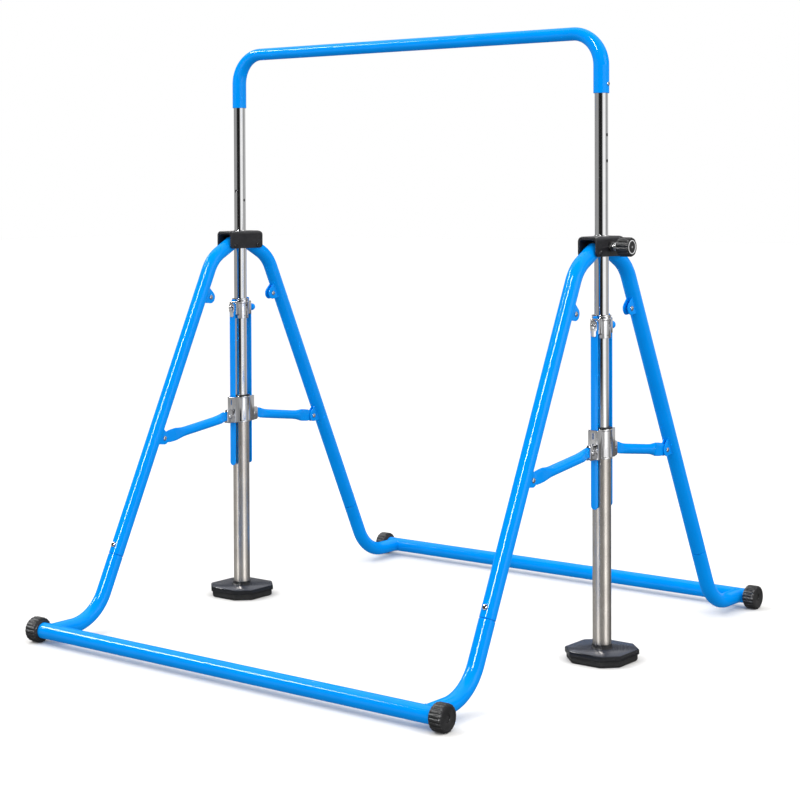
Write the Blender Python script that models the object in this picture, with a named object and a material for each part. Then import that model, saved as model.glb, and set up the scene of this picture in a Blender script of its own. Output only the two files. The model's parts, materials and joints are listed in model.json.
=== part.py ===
"""Folding gymnastics bar: a height-adjustable bar on two telescopic posts, with folding leg frames.

Metres, +Z up. X runs along the bar, Y is the depth, and the origin is on the floor midway between the posts.
Each moving group hangs from an empty that stands on its joint's axis.
"""
import math

import bmesh
import bpy
from mathutils import Matrix, Vector

# Layout
POST_X = 0.586             # each post's axis, from the middle of the bar
BASE_Y = 0.700             # each base tube's axis, from the plane of the posts
BAR_Z = 1.500              # axis of the hand bar
BASE_Z = 0.031             # axis of the base tubes, which is the end caps' radius

# Clearances
SEAT_GAP = 0.0003          # between pieces that touch
PLATE_GAP = 0.0005         # beside a piece that turns between two plates
TUBE_SIDES = 16
SMALL_SIDES = 10

# Hand bar, with its ends widened into sleeves
BAR_R = 0.016
SLEEVE_R = 0.019
SLEEVE_LENGTH = 0.066      # from the bend to the lower rim
BAR_BEND_R = 0.079
BAR_SCREW_RISE = 0.022     # screw above the sleeve's rim

# Telescopic posts
INNER_R = 0.016
INNER_BORE = 0.014
INNER_TOP_INSET = 0.009    # below the start of the bar's bend
INNER_LENGTH = 0.712
INNER_HOLE_R = 0.004
RIGHT_HOLE_DROPS = (0.099, 0.161)   # below the sleeve's rim
LEFT_HOLE_DROP = 0.255
LEFT_FRONT_HOLE_DROP = 0.230
MID_R = 0.0175
MID_BORE = 0.0165
MID_BOTTOM = 0.295
MID_PROUD = 0.002          # above the bracket's top
LOWER_R = 0.0225
LOWER_BORE = 0.0205
COLLAR_TOP = 0.556
BUSH_FLANGE = 0.003
BUSH_LENGTH = 0.040

# Bracket at the head of the legs
BRACKET_HALF_X = 0.0265
BRACKET_HALF_Y = 0.064
BRACKET_LOW = 0.967
BRACKET_TOP = 1.015
BRACKET_WALL = 0.005
BRACKET_ROOF = 0.008
BRACKET_CORNER = 0.011     # along the top, and at the side plates' lower corners
HINGE_Y = 0.045
HINGE_Z = 0.976
PIVOT_R = 0.004            # radius of every pivot bolt
PIVOT_CLEARANCE = 0.0003
BOLT_HEAD_R = 0.0070
BOLT_HEAD_H = 0.0025

# Legs
LEG_R = 0.019
LEG_BORE = 0.017
LEG_TILT = math.radians(25.8)       # from the vertical
LEG_TOP_TILT = math.radians(62.0)
LEG_AT_Z = 0.890           # the straight part passes this height
LEG_AT_Y = 0.136           # at this distance from the post plane
LEG_TOP_BEND_R = 0.100
LEG_TOP_PAST = 0.014       # past the hinge
LEG_JOINT_Z = 0.187
SPIGOT_LENGTH = 0.045
SPIGOT_WALL = 0.002
FOOT_BEND_R = 0.120
SADDLE_DEPTH = 0.006       # of the foot tube's end in the base tube's curve, before it is cut to fit
BASE_R = 0.0195
BASE_BORE = 0.0175

# Ears on the legs
EAR_THICK = 0.003
EAR_REACH = 0.032          # pivot from the leg's axis
EAR_R = 0.014
EAR_HALF_ROOT = 0.018
UPPER_EAR_Z = 0.850        # on the leg's axis
UPPER_EAR_INNER_X = 0.0052  # from the leg's middle plane
LOWER_EAR_Z = 0.484

# End caps
CAP_GAP = 0.004            # beside the foot tube
CAP_LENGTH = 0.036
CAP_FLOOR = 0.005
CAP_RIBS = 20
CAP_RIB_DEPTH = 0.0014
CAP_RECESS_R = 0.009
CAP_RECESS_DEPTH = 0.002

# Lower collar, straps and braces
COLLAR_BOTTOM = 0.484
COLLAR_WALL = 0.0027
COLLAR_PIVOT_Y = 0.049
COLLAR_PIVOT_Z = 0.502
COLLAR_EAR_REACH = 0.013   # past the pivot
COLLAR_EAR_RISE = 0.0165
COLLAR_EAR_DROP = 0.0175
COLLAR_EAR_CORNER = 0.005
STRAP_HALF = 0.0092
STRAP_Y = 0.031            # inner face
STRAP_THICK = 0.004
STRAP_TOP = 0.816
STRAP_BOTTOM = 0.365
RAIL_GAP = 0.0023          # beside the strap
RAIL_THICK = 0.003
RAIL_ROOT_Y = 0.0203
GUIDE_Y = 0.0368
GUIDE_THICK = 0.0024
BRACE_R = 0.0125
BRACE_FLAT_HALF = 0.003    # half the thickness of the flattened ends
BRACE_SIDES = 12

# Flattened ends of the braces: distances from the pivot, and reach from the axis
BRACE_INNER_TIP_R = 0.009
BRACE_INNER_NECK = 0.006
BRACE_INNER_SHOULDER = 0.012
BRACE_INNER_HEAD = 0.0185
BRACE_INNER_HEAD_END = 0.024
BRACE_INNER_FLARE = 0.032
BRACE_INNER_ROUND = 0.055  # the tube is round from here
BRACE_INNER_RISE = 0.017
BRACE_INNER_DROP = 0.009
BRACE_OUTER_TIP_R = 0.0098
BRACE_OUTER_NECK = 0.010
BRACE_OUTER_SHOULDER = 0.022
BRACE_OUTER_HEAD = 0.050
BRACE_OUTER_FLARE = 0.065
BRACE_OUTER_ROUND = 0.085
BRACE_OUTER_RISE = 0.0168

# Strap collar
UPPER_LOW = 0.772
UPPER_TOP = 0.827
UPPER_WALL = 0.0045
UPPER_BLOCK_HALF = 0.0125
UPPER_BLOCK_LOW = 0.782
UPPER_BLOCK_TOP = 0.820
STRAP_BOLT_Z = 0.801
STRAP_BOLT_R = 0.003
STRAP_BOLT_HEAD_R = 0.0075
STRAP_BOLT_HEAD_H = 0.006
STRAP_BOLT_DEPTH = 0.0215
BALL_NUT_R = 0.0095

# Foot pads
PAD_HALF = 0.078
PAD_CORNER = 0.0355
PAD_TOP = 0.030
PAD_EDGE = 0.003
SOLE_HALF = 0.0745
SOLE_TOP = 0.016
SOCKET_R = 0.0275
SOCKET_TOP = 0.040
SOCKET_FLOOR = 0.0203

# Lock knob
LOCK_Z = 0.990
BOSS_R = 0.012
BOSS_LENGTH = 0.010
PIN_R = 0.004
STUD_R = 0.005
STUD_SLEEVE_R = 0.0096
KNOB_R = 0.023
STUD_SHOWN = 0.0127        # of the stud's sleeve, between the boss and the knob
KNOB_LENGTH = 0.0355
KNOB_FLOOR = 0.005
KNOB_FLUTES = 10
KNOB_FLUTE_DEPTH = 0.0025

# Small screws
SCREW_R = 0.0022
SCREW_HOLE_R = 0.0025
SCREW_HEAD_R = 0.0048
SCREW_HEAD_H = 0.0026

# Sizes that follow from the ones above
SLEEVE_Z = BAR_Z - BAR_BEND_R - SLEEVE_LENGTH
SLEEVE_BORE = INNER_R + SEAT_GAP
BAR_WALL = SLEEVE_R - SLEEVE_BORE
INNER_TOP = BAR_Z - BAR_BEND_R - INNER_TOP_INSET
INNER_BOTTOM = INNER_TOP - INNER_LENGTH
PIVOT_HOLE_R = PIVOT_R + PIVOT_CLEARANCE
EAR_INNER_X = BRACE_FLAT_HALF + PLATE_GAP
EAR_OUTER_X = EAR_INNER_X + EAR_THICK
RAIL_INNER_X = STRAP_HALF + RAIL_GAP
RAIL_OUTER_X = RAIL_INNER_X + RAIL_THICK
BOSS_INNER_X = POST_X + BRACKET_HALF_X + SEAT_GAP
BOSS_OUTER_X = BOSS_INNER_X + BOSS_LENGTH
PIN_TIP_X = POST_X + MID_BORE + SEAT_GAP
KNOB_INNER_X = BOSS_OUTER_X + STUD_SHOWN
KNOB_FACE_X = KNOB_INNER_X + KNOB_LENGTH
CAP_INNER_X = POST_X + LEG_R + CAP_GAP
CAP_OUTER_X = CAP_INNER_X + CAP_LENGTH
LEG_DOWN = Vector((0.0, math.sin(LEG_TILT), -math.cos(LEG_TILT)))
LEG_INWARD = Vector((0.0, -math.cos(LEG_TILT), -math.sin(LEG_TILT)))

X_AXIS = Vector((1.0, 0.0, 0.0))
Y_AXIS = Vector((0.0, 1.0, 0.0))
Z_AXIS = Vector((0.0, 0.0, 1.0))

SIDES = {"left": -1, "right": 1}
ENDS = {"front": -1, "rear": 1}

# Finish: colour, roughness, metallic
FINISHES = {
    "blue_paint": ((0.0, 0.275, 0.80, 1.0), 0.25, 0.0),
    "chrome": ((0.80, 0.81, 0.82, 1.0), 0.12, 1.0),
    "steel_tube": ((0.62, 0.63, 0.65, 1.0), 0.22, 1.0),
    "black_paint": ((0.015, 0.015, 0.017, 1.0), 0.40, 0.0),
    "black_plastic": ((0.022, 0.022, 0.024, 1.0), 0.50, 0.0),
    "black_rubber": ((0.018, 0.018, 0.018, 1.0), 0.75, 0.0),
}

body_axes = {}


# Scene helpers

def clear_scene():
    for item in list(bpy.data.objects):
        bpy.data.objects.remove(item, do_unlink=True)


def add_body(name, origin):
    """Add the empty that carries a moving group, on the group's joint axis."""
    empty = bpy.data.objects.new(name + "_axis", None)
    empty.empty_display_size = 0.05
    empty.location = origin
    bpy.context.scene.collection.objects.link(empty)
    body_axes[name] = empty


def add_material(name, finish):
    colour, roughness, metallic = FINISHES[finish]
    material = bpy.data.materials.new(name + "_" + finish)
    material.use_nodes = True
    shader = material.node_tree.nodes["Principled BSDF"]
    shader.inputs["Base Color"].default_value = colour
    shader.inputs["Roughness"].default_value = roughness
    shader.inputs["Metallic"].default_value = metallic
    material.diffuse_color = colour
    return material


def add_mesh_object(name, bm):
    bmesh.ops.recalc_face_normals(bm, faces=bm.faces)
    mesh = bpy.data.meshes.new(name)
    bm.to_mesh(mesh)
    bm.free()
    item = bpy.data.objects.new(name, mesh)
    bpy.context.scene.collection.objects.link(item)
    return item


def add_piece(name, bm, finish, body):
    """Add a finished piece, whose mesh was made in world coordinates, to a moving group."""
    item = add_mesh_object(name, bm)
    axis = body_axes[body]
    item.data.transform(Matrix.Translation(-axis.location))
    item.data.materials.append(add_material(name, finish))
    item.data.shade_smooth()
    item.data.set_sharp_from_angle(angle=math.radians(35.0))
    item.parent = axis
    return item


def add_helper(name, bm):
    """Add a cutter or a joined shape, which is not itself part of the model."""
    item = add_mesh_object(name, bm)
    item.hide_render = True
    item.display_type = "WIRE"
    return item


def combine(target, helper, operation):
    modifier = target.modifiers.new(helper.name, "BOOLEAN")
    modifier.operation = operation
    modifier.solver = "EXACT"
    modifier.object = helper


def cut(target, helper):
    combine(target, helper, "DIFFERENCE")


def join(target, helper):
    combine(target, helper, "UNION")


# Mesh helpers

def add_ring(bm, centre, across, up, radius_across, radius_up, sides, squareness=2.0):
    """Add a ring of vertices; squareness 2 is an ellipse, and more is boxier."""
    ring = []
    for index in range(sides):
        angle = 2.0 * math.pi * index / sides
        cosine = math.cos(angle)
        sine = math.sin(angle)
        reach_across = math.copysign(abs(cosine) ** (2.0 / squareness), cosine) * radius_across
        reach_up = math.copysign(abs(sine) ** (2.0 / squareness), sine) * radius_up
        ring.append(bm.verts.new(centre + across * reach_across + up * reach_up))
    return ring


def bridge(bm, first, second):
    count = len(first)
    for index in range(count):
        after = (index + 1) % count
        bm.faces.new((first[index], first[after], second[after], second[index]))


def add_tube(bm, stations, across, sides=TUBE_SIDES):
    """Add a tube through stations of (centre, direction, outer radius, bore); bore 0 makes it solid."""
    outer = []
    inner = []
    for centre, direction, radius, bore in stations:
        up = direction.cross(across).normalized()
        outer.append(add_ring(bm, centre, across, up, radius, radius, sides))
        if bore:
            inner.append(add_ring(bm, centre, across, up, bore, bore, sides))
    for first, second in zip(outer, outer[1:]):
        bridge(bm, first, second)
    if inner:
        for first, second in zip(inner, inner[1:]):
            bridge(bm, second, first)
        bridge(bm, inner[0], outer[0])
        bridge(bm, outer[-1], inner[-1])
    else:
        bm.faces.new(outer[0])
        bm.faces.new(outer[-1])


def add_straight(bm, start, end, radius, bore=0.0, sides=TUBE_SIDES):
    direction = (end - start).normalized()
    across = Y_AXIS if abs(direction.x) > 0.5 else X_AXIS
    add_tube(bm, [(start, direction, radius, bore), (end, direction, radius, bore)], across, sides)


def add_turned(bm, origin, axis, profile, sides=SMALL_SIDES):
    """Turn a profile of (distance along the axis, radius) into a solid with flat ends."""
    across = Y_AXIS if abs(axis.x) > 0.5 else X_AXIS
    stations = [(origin + axis * along, axis, radius, 0.0) for along, radius in profile]
    add_tube(bm, stations, across, sides)


def add_prism(bm, outline, origin, across, up, depth_axis, low, high):
    """Extrude a flat outline of (across, up) points from low to high along a third axis."""
    layers = []
    for depth in (low, high):
        layer = [bm.verts.new(origin + across * a + up * b + depth_axis * depth) for a, b in outline]
        layers.append(layer)
        bm.faces.new(layer)
    bridge(bm, layers[0], layers[1])


def arc(centre_a, centre_b, radius, start, end, steps):
    points = []
    for index in range(steps + 1):
        angle = math.radians(start + (end - start) * index / steps)
        points.append((centre_a + radius * math.cos(angle), centre_b + radius * math.sin(angle)))
    return points


def rounded_path(corners, bend_radius, steps):
    """Follow a path of corners, with each inner corner rounded; returns (point, direction, turn share)."""
    path = [(corners[0], (corners[1] - corners[0]).normalized(), 0.0)]
    for before, corner, after in zip(corners, corners[1:], corners[2:]):
        arriving = (corner - before).normalized()
        leaving = (after - corner).normalized()
        turn = arriving.angle(leaving)
        start = corner - arriving * bend_radius * math.tan(turn / 2.0)
        side = (leaving - arriving * arriving.dot(leaving)).normalized()
        centre = start + side * bend_radius
        for index in range(steps + 1):
            angle = turn * index / steps
            point = centre - side * bend_radius * math.cos(angle) + arriving * bend_radius * math.sin(angle)
            direction = arriving * math.cos(angle) + side * math.sin(angle)
            path.append((point, direction, index / steps))
    path.append((corners[-1], (corners[-1] - corners[-2]).normalized(), 1.0))
    return path


def at_leg(height, side, end):
    """Point on the straight part of a leg's axis."""
    out = LEG_AT_Y + math.tan(LEG_TILT) * (LEG_AT_Z - height)
    return Vector((side * POST_X, end * out, height))


def turned_to(end, vector):
    """Mirror a direction of the rear frame to the frame in question."""
    return Vector((vector.x, vector.y * end, vector.z))


def ear_pivot(height, side, end):
    return at_leg(height, side, end) + turned_to(end, LEG_INWARD) * EAR_REACH


# Hand bar

def make_top_bar():
    bm = bmesh.new()
    corners = [
        Vector((-POST_X, 0.0, SLEEVE_Z)),
        Vector((-POST_X, 0.0, BAR_Z)),
        Vector((POST_X, 0.0, BAR_Z)),
        Vector((POST_X, 0.0, SLEEVE_Z)),
    ]
    bend_steps = 6
    path = rounded_path(corners, BAR_BEND_R, bend_steps)
    stations = []
    for index, (point, direction, share) in enumerate(path):
        narrowing = share if index <= bend_steps + 1 else 1.0 - share
        if index == len(path) - 1:
            narrowing = 0.0
        radius = SLEEVE_R + (BAR_R - SLEEVE_R) * narrowing
        stations.append((point, direction, radius, radius - BAR_WALL))
    add_tube(bm, stations, Y_AXIS)
    bar = add_piece("top_bar", bm, "blue_paint", "top_bar")

    screw_z = SLEEVE_Z + BAR_SCREW_RISE
    holes = bmesh.new()
    for name, side in SIDES.items():
        outward = X_AXIS * side
        origin = Vector((side * POST_X, 0.0, screw_z))
        screw = bmesh.new()
        add_screw(screw, origin, outward, SLEEVE_R, INNER_BORE)
        add_piece(name + "_bar_screw", screw, "chrome", "top_bar")
        add_straight(holes, origin, origin + outward * (SLEEVE_R + 0.01), SCREW_HOLE_R, 0.0, SMALL_SIDES)
    screw_holes = add_helper("bar_screw_holes", holes)
    cut(bar, screw_holes)

    hole_places = {
        "left": [(LEFT_HOLE_DROP, X_AXIS), (LEFT_FRONT_HOLE_DROP, -Y_AXIS)],
        "right": [(drop, X_AXIS) for drop in RIGHT_HOLE_DROPS],
    }
    for name, side in SIDES.items():
        bm = bmesh.new()
        post = X_AXIS * side * POST_X
        add_straight(bm, post + Z_AXIS * INNER_BOTTOM, post + Z_AXIS * INNER_TOP, INNER_R, INNER_BORE)
        tube = add_piece(name + "_inner_tube", bm, "steel_tube", "top_bar")
        cut(tube, screw_holes)
        holes = bmesh.new()
        for drop, outward in hole_places[name]:
            start = post + Z_AXIS * (SLEEVE_Z - drop)
            add_straight(holes, start, start + outward * (INNER_R + 0.01), INNER_HOLE_R, 0.0, SMALL_SIDES)
        cut(tube, add_helper(name + "_inner_holes", holes))


def add_screw(bm, origin, outward, surface, inner_end):
    """Add a pan-head screw whose head sits on a tube's surface and whose shank reaches its core."""
    seat = surface + SEAT_GAP
    profile = [
        (inner_end, SCREW_R),
        (seat, SCREW_R),
        (seat + 0.00001, SCREW_HEAD_R),
        (seat + SCREW_HEAD_H * 0.6, SCREW_HEAD_R),
        (seat + SCREW_HEAD_H, SCREW_HEAD_R * 0.6),
    ]
    add_turned(bm, origin, outward, profile)


# Posts

def make_posts():
    for name, side in SIDES.items():
        post = X_AXIS * side * POST_X
        bm = bmesh.new()
        add_straight(bm, post + Z_AXIS * MID_BOTTOM, post + Z_AXIS * (BRACKET_TOP + MID_PROUD), MID_R, MID_BORE)
        mid = add_piece(name + "_mid_post", bm, "steel_tube", "posts")
        bracket = make_bracket(name, side)
        if side > 0:
            hole = bmesh.new()
            start = Vector((POST_X, 0.0, LOCK_Z))
            reach = BRACKET_HALF_X + 0.01
            add_straight(hole, start, start + X_AXIS * reach, PIN_R + PIVOT_CLEARANCE, 0.0, SMALL_SIDES)
            pin_hole = add_helper("lock_pin_hole", hole)
            cut(mid, pin_hole)
            cut(bracket, pin_hole)
        make_bush(name + "_slide_bush", post, MID_BOTTOM, 0.0, "posts")
        make_strap_collar(name, side)
    make_hinge_bolts()
    make_strap_fasteners()
    boss = bmesh.new()
    start = Vector((BOSS_INNER_X, 0.0, LOCK_Z))
    add_straight(boss, start, start + X_AXIS * BOSS_LENGTH, BOSS_R, PIN_R + PIVOT_CLEARANCE)
    add_piece("knob_boss", boss, "black_plastic", "posts")


def make_bracket(name, side):
    """An inverted channel that both leg heads enter from its open ends."""
    corner = BRACKET_CORNER
    inner_corner = corner - BRACKET_WALL
    half = BRACKET_HALF_X
    inner_half = half - BRACKET_WALL
    inner_top = BRACKET_TOP - BRACKET_ROOF
    outline = [(half, BRACKET_LOW)]
    outline += arc(half - corner, BRACKET_TOP - corner, corner, 0.0, 90.0, 4)
    outline += arc(corner - half, BRACKET_TOP - corner, corner, 90.0, 180.0, 4)
    outline += [(-half, BRACKET_LOW), (-inner_half, BRACKET_LOW)]
    outline += arc(inner_corner - inner_half, inner_top - inner_corner, inner_corner, 180.0, 90.0, 4)
    outline += arc(inner_half - inner_corner, inner_top - inner_corner, inner_corner, 90.0, 0.0, 4)
    outline += [(inner_half, BRACKET_LOW)]
    bm = bmesh.new()
    post = X_AXIS * side * POST_X
    add_prism(bm, outline, post, X_AXIS, Z_AXIS, Y_AXIS, -BRACKET_HALF_Y, BRACKET_HALF_Y)
    bracket = add_piece(name + "_bracket", bm, "black_paint", "posts")
    holes = bmesh.new()
    top = post + Z_AXIS * BRACKET_TOP
    add_straight(holes, top - Z_AXIS * (BRACKET_ROOF + 0.004), top + Z_AXIS * 0.01, MID_R + SEAT_GAP)
    for end in ENDS.values():
        start = Vector((side * POST_X - 0.04, end * HINGE_Y, HINGE_Z))
        add_straight(holes, start, start + X_AXIS * 0.08, PIVOT_HOLE_R, 0.0, SMALL_SIDES)
    cut(bracket, add_helper(name + "_bracket_holes", holes))
    corners = bmesh.new()
    spare = 0.002
    for end in ENDS.values():
        edge_y = BRACKET_HALF_Y
        outline = arc(edge_y - corner, BRACKET_LOW + corner, corner, -90.0, 0.0, 4)
        outline += [(edge_y + spare, BRACKET_LOW + corner), (edge_y + spare, BRACKET_LOW - spare)]
        outline.append((edge_y - corner, BRACKET_LOW - spare))
        outline = [(a * end, b) for a, b in outline]
        add_prism(corners, outline, post, Y_AXIS, Z_AXIS, X_AXIS, -half - spare, half + spare)
    cut(bracket, add_helper(name + "_bracket_corners", corners))
    return bracket


def add_through_bolt(bm, centre, half_span):
    """Add a pivot bolt along X, with a flat head and nut outside the plates that it joins."""
    face = half_span + SEAT_GAP
    lip = 0.00001
    profile = [
        (-face - BOLT_HEAD_H, BOLT_HEAD_R * 0.9),
        (-face - lip, BOLT_HEAD_R),
        (-face, PIVOT_R),
        (face, PIVOT_R),
        (face + lip, BOLT_HEAD_R),
        (face + BOLT_HEAD_H, BOLT_HEAD_R * 0.9),
    ]
    add_turned(bm, centre, X_AXIS, profile)


def make_hinge_bolts():
    for side_name, side in SIDES.items():
        for end_name, end in ENDS.items():
            bm = bmesh.new()
            add_through_bolt(bm, Vector((side * POST_X, end * HINGE_Y, HINGE_Z)), BRACKET_HALF_X)
            add_piece(end_name + "_" + side_name + "_hinge_bolt", bm, "black_paint", "posts")


def make_bush(name, post, low, flange, body):
    """A plastic bush between the mid tube and the lower tube, with or without a flange on top."""
    bore = MID_R + SEAT_GAP
    radius = LOWER_BORE - SEAT_GAP
    high = low + BUSH_LENGTH
    stations = [
        (post + Z_AXIS * low, Z_AXIS, radius, bore),
        (post + Z_AXIS * high, Z_AXIS, radius, bore),
    ]
    if flange:
        flange_r = LOWER_R + COLLAR_WALL
        step = 0.0001
        stations.append((post + Z_AXIS * (high + step), Z_AXIS, flange_r, bore))
        stations.append((post + Z_AXIS * (high + flange), Z_AXIS, flange_r, bore))
    bm = bmesh.new()
    add_tube(bm, stations, X_AXIS)
    add_piece(name, bm, "black_plastic", body)


def make_strap_collar(name, side):
    """The chrome collar on the mid tube, and the two flat straps that hang from it."""
    post = X_AXIS * side * POST_X
    bm = bmesh.new()
    bore = MID_R + SEAT_GAP
    radius = bore + UPPER_WALL
    add_straight(bm, post + Z_AXIS * UPPER_LOW, post + Z_AXIS * UPPER_TOP, radius, bore)
    collar = add_piece(name + "_strap_collar", bm, "chrome", "posts")
    blocks = bmesh.new()
    holes = bmesh.new()
    half = UPPER_BLOCK_HALF
    inner_y = bore + UPPER_WALL * 0.4
    outer_y = STRAP_Y - SEAT_GAP
    for end in ENDS.values():
        outline = [(-half, inner_y), (half, inner_y), (half, outer_y), (-half, outer_y)]
        outline = [(a, b * end) for a, b in outline]
        add_prism(blocks, outline, post, X_AXIS, Y_AXIS, Z_AXIS, UPPER_BLOCK_LOW, UPPER_BLOCK_TOP)
        start = post + Z_AXIS * STRAP_BOLT_Z + Y_AXIS * end * (STRAP_BOLT_DEPTH - SEAT_GAP)
        hole_end = start + Y_AXIS * end * 0.02
        add_straight(holes, start, hole_end, STRAP_BOLT_R + PIVOT_CLEARANCE, 0.0, SMALL_SIDES)
    join(collar, add_helper(name + "_collar_blocks", blocks))
    strap_holes = add_helper(name + "_strap_holes", holes)
    cut(collar, strap_holes)
    for end_name, end in ENDS.items():
        middle_top = STRAP_TOP - STRAP_HALF
        middle_low = STRAP_BOTTOM + STRAP_HALF
        outline = arc(0.0, middle_top, STRAP_HALF, 0.0, 180.0, 8)
        outline += arc(0.0, middle_low, STRAP_HALF, 180.0, 360.0, 8)
        bm = bmesh.new()
        near = STRAP_Y * end
        far = (STRAP_Y + STRAP_THICK) * end
        add_prism(bm, outline, post, X_AXIS, Z_AXIS, Y_AXIS, near, far)
        strap = add_piece(end_name + "_" + name + "_strap", bm, "blue_paint", "posts")
        cut(strap, strap_holes)


def make_strap_fasteners():
    seat = STRAP_Y + STRAP_THICK + SEAT_GAP
    lip = 0.00001
    for name, side in SIDES.items():
        origin = Vector((side * POST_X, 0.0, STRAP_BOLT_Z))
        bolt = [
            (STRAP_BOLT_DEPTH, STRAP_BOLT_R),
            (seat, STRAP_BOLT_R),
            (seat + lip, STRAP_BOLT_HEAD_R),
            (seat + STRAP_BOLT_HEAD_H * 0.8, STRAP_BOLT_HEAD_R),
            (seat + STRAP_BOLT_HEAD_H, STRAP_BOLT_HEAD_R * 0.85),
        ]
        bolt_mesh = bmesh.new()
        add_turned(bolt_mesh, origin, -Y_AXIS, bolt, 6)
        add_piece(name + "_strap_bolt", bolt_mesh, "chrome", "posts")
        nut = [(STRAP_BOLT_DEPTH, STRAP_BOLT_R), (seat, STRAP_BOLT_R)]
        for index in range(1, 7):
            angle = math.radians(185.0 - 29.0 * index)
            nut.append((seat + BALL_NUT_R * (0.92 + math.cos(angle)), BALL_NUT_R * math.sin(angle)))
        nut_mesh = bmesh.new()
        add_turned(nut_mesh, origin, Y_AXIS, nut)
        add_piece(name + "_strap_nut", nut_mesh, "blue_paint", "posts")


# Leg frames

def leg_corner():
    """Where the leg's straight part would meet its steeper head, as (out, height)."""
    head_slope = math.tan(LEG_TOP_TILT)
    leg_slope = math.tan(LEG_TILT)
    head_at_zero = HINGE_Y + head_slope * HINGE_Z
    leg_at_zero = LEG_AT_Y + leg_slope * LEG_AT_Z
    height = (head_at_zero - leg_at_zero) / (head_slope - leg_slope)
    return leg_at_zero - leg_slope * height, height


def add_ear_plate(bm, root, end, plate_sign, inner_x):
    """One plate of a pair, rooted in the leg's wall and clear of its bore."""
    root_out = math.sqrt(LEG_BORE ** 2 - inner_x ** 2) + SEAT_GAP
    outline = [(root_out, -EAR_HALF_ROOT)]
    outline += arc(EAR_REACH, 0.0, EAR_R, -80.0, 80.0, 6)
    outline += [(root_out, EAR_HALF_ROOT)]
    inward = turned_to(end, LEG_INWARD)
    down = turned_to(end, LEG_DOWN)
    low = plate_sign * inner_x
    high = plate_sign * (inner_x + EAR_THICK)
    add_prism(bm, outline, root, inward, down, X_AXIS, low, high)


def make_leg(body, name, side, end):
    """A bent tube whose welded ears face the post."""
    corner_y, corner_z = leg_corner()
    head = Vector((0.0, math.sin(LEG_TOP_TILT), -math.cos(LEG_TOP_TILT)))
    hinge = Vector((side * POST_X, end * HINGE_Y, HINGE_Z))
    corners = [
        hinge - turned_to(end, head) * LEG_TOP_PAST,
        Vector((side * POST_X, end * corner_y, corner_z)),
        at_leg(LEG_JOINT_Z, side, end),
    ]
    path = rounded_path(corners, LEG_TOP_BEND_R, 3)
    bm = bmesh.new()
    add_tube(bm, [(point, direction, LEG_R, LEG_BORE) for point, direction, share in path], X_AXIS)
    leg = add_piece(name + "_leg", bm, "blue_paint", body)
    ears = bmesh.new()
    holes = bmesh.new()
    pivots = [hinge]
    for height, inner_x in ((UPPER_EAR_Z, UPPER_EAR_INNER_X), (LOWER_EAR_Z, EAR_INNER_X)):
        pivots.append(ear_pivot(height, side, end))
        for plate_sign in (-1, 1):
            add_ear_plate(ears, at_leg(height, side, end), end, plate_sign, inner_x)
    for pivot in pivots:
        start = pivot - X_AXIS * (LEG_R + 0.01)
        add_straight(holes, start, start + X_AXIS * 2.0 * (LEG_R + 0.01), PIVOT_HOLE_R, 0.0, SMALL_SIDES)
    join(leg, add_helper(name + "_leg_ears", ears))
    cut(leg, add_helper(name + "_leg_holes", holes))


def make_foot_tube(body, name, side, end):
    """The bent tube from the leg's lower end to the base tube, with a spigot that enters the leg."""
    down = turned_to(end, LEG_DOWN)
    joint = at_leg(LEG_JOINT_Z, side, end)
    flat_out = LEG_AT_Y + math.tan(LEG_TILT) * (LEG_AT_Z - BASE_Z)
    saddle_end = BASE_Y - SADDLE_DEPTH
    corners = [
        joint + down * 0.001,
        Vector((side * POST_X, end * flat_out, BASE_Z)),
        Vector((side * POST_X, end * saddle_end, BASE_Z)),
    ]
    spigot_r = LEG_BORE - SEAT_GAP
    spigot_bore = spigot_r - SPIGOT_WALL
    stations = [
        (joint - down * SPIGOT_LENGTH, down, spigot_r, spigot_bore),
        (joint + down * 0.0006, down, spigot_r, spigot_bore),
    ]
    path = rounded_path(corners, FOOT_BEND_R, 5)
    stations.append((joint + down * 0.001, down, LEG_R, spigot_bore))
    stations += [(point, direction, LEG_R, LEG_BORE) for point, direction, share in path[1:]]
    bm = bmesh.new()
    add_tube(bm, stations, X_AXIS)
    tube = add_piece(name + "_foot_tube", bm, "blue_paint", body)
    saddle = bmesh.new()
    start = Vector((side * POST_X - 0.05, end * BASE_Y, BASE_Z))
    add_straight(saddle, start, start + X_AXIS * 0.10, BASE_R + SEAT_GAP)
    cut(tube, add_helper(name + "_saddle", saddle))


def make_end_cap(body, name, side, end):
    """A ribbed rubber cap that covers the base tube's end and stands on the floor."""
    steps = CAP_RIBS * 2
    outline = []
    for index in range(steps):
        radius = BASE_Z if index % 2 == 0 else BASE_Z - CAP_RIB_DEPTH
        angle = 2.0 * math.pi * index / steps - math.pi / 2.0
        outline.append((radius * math.cos(angle), radius * math.sin(angle)))
    bm = bmesh.new()
    origin = Vector((0.0, end * BASE_Y, BASE_Z))
    add_prism(bm, outline, origin, Y_AXIS, Z_AXIS, X_AXIS, side * CAP_INNER_X, side * CAP_OUTER_X)
    cap = add_piece(name + "_end_cap", bm, "black_plastic", body)
    hollow = bmesh.new()
    start = origin + X_AXIS * side * (CAP_INNER_X - 0.01)
    floor = origin + X_AXIS * side * (CAP_OUTER_X - CAP_FLOOR)
    add_straight(hollow, start, floor, BASE_R + SEAT_GAP)
    recess = origin + X_AXIS * side * (CAP_OUTER_X - CAP_RECESS_DEPTH)
    add_straight(hollow, recess, recess + X_AXIS * side * 0.01, CAP_RECESS_R, 0.0, SMALL_SIDES)
    cut(cap, add_helper(name + "_cap_hollow", hollow))


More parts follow.
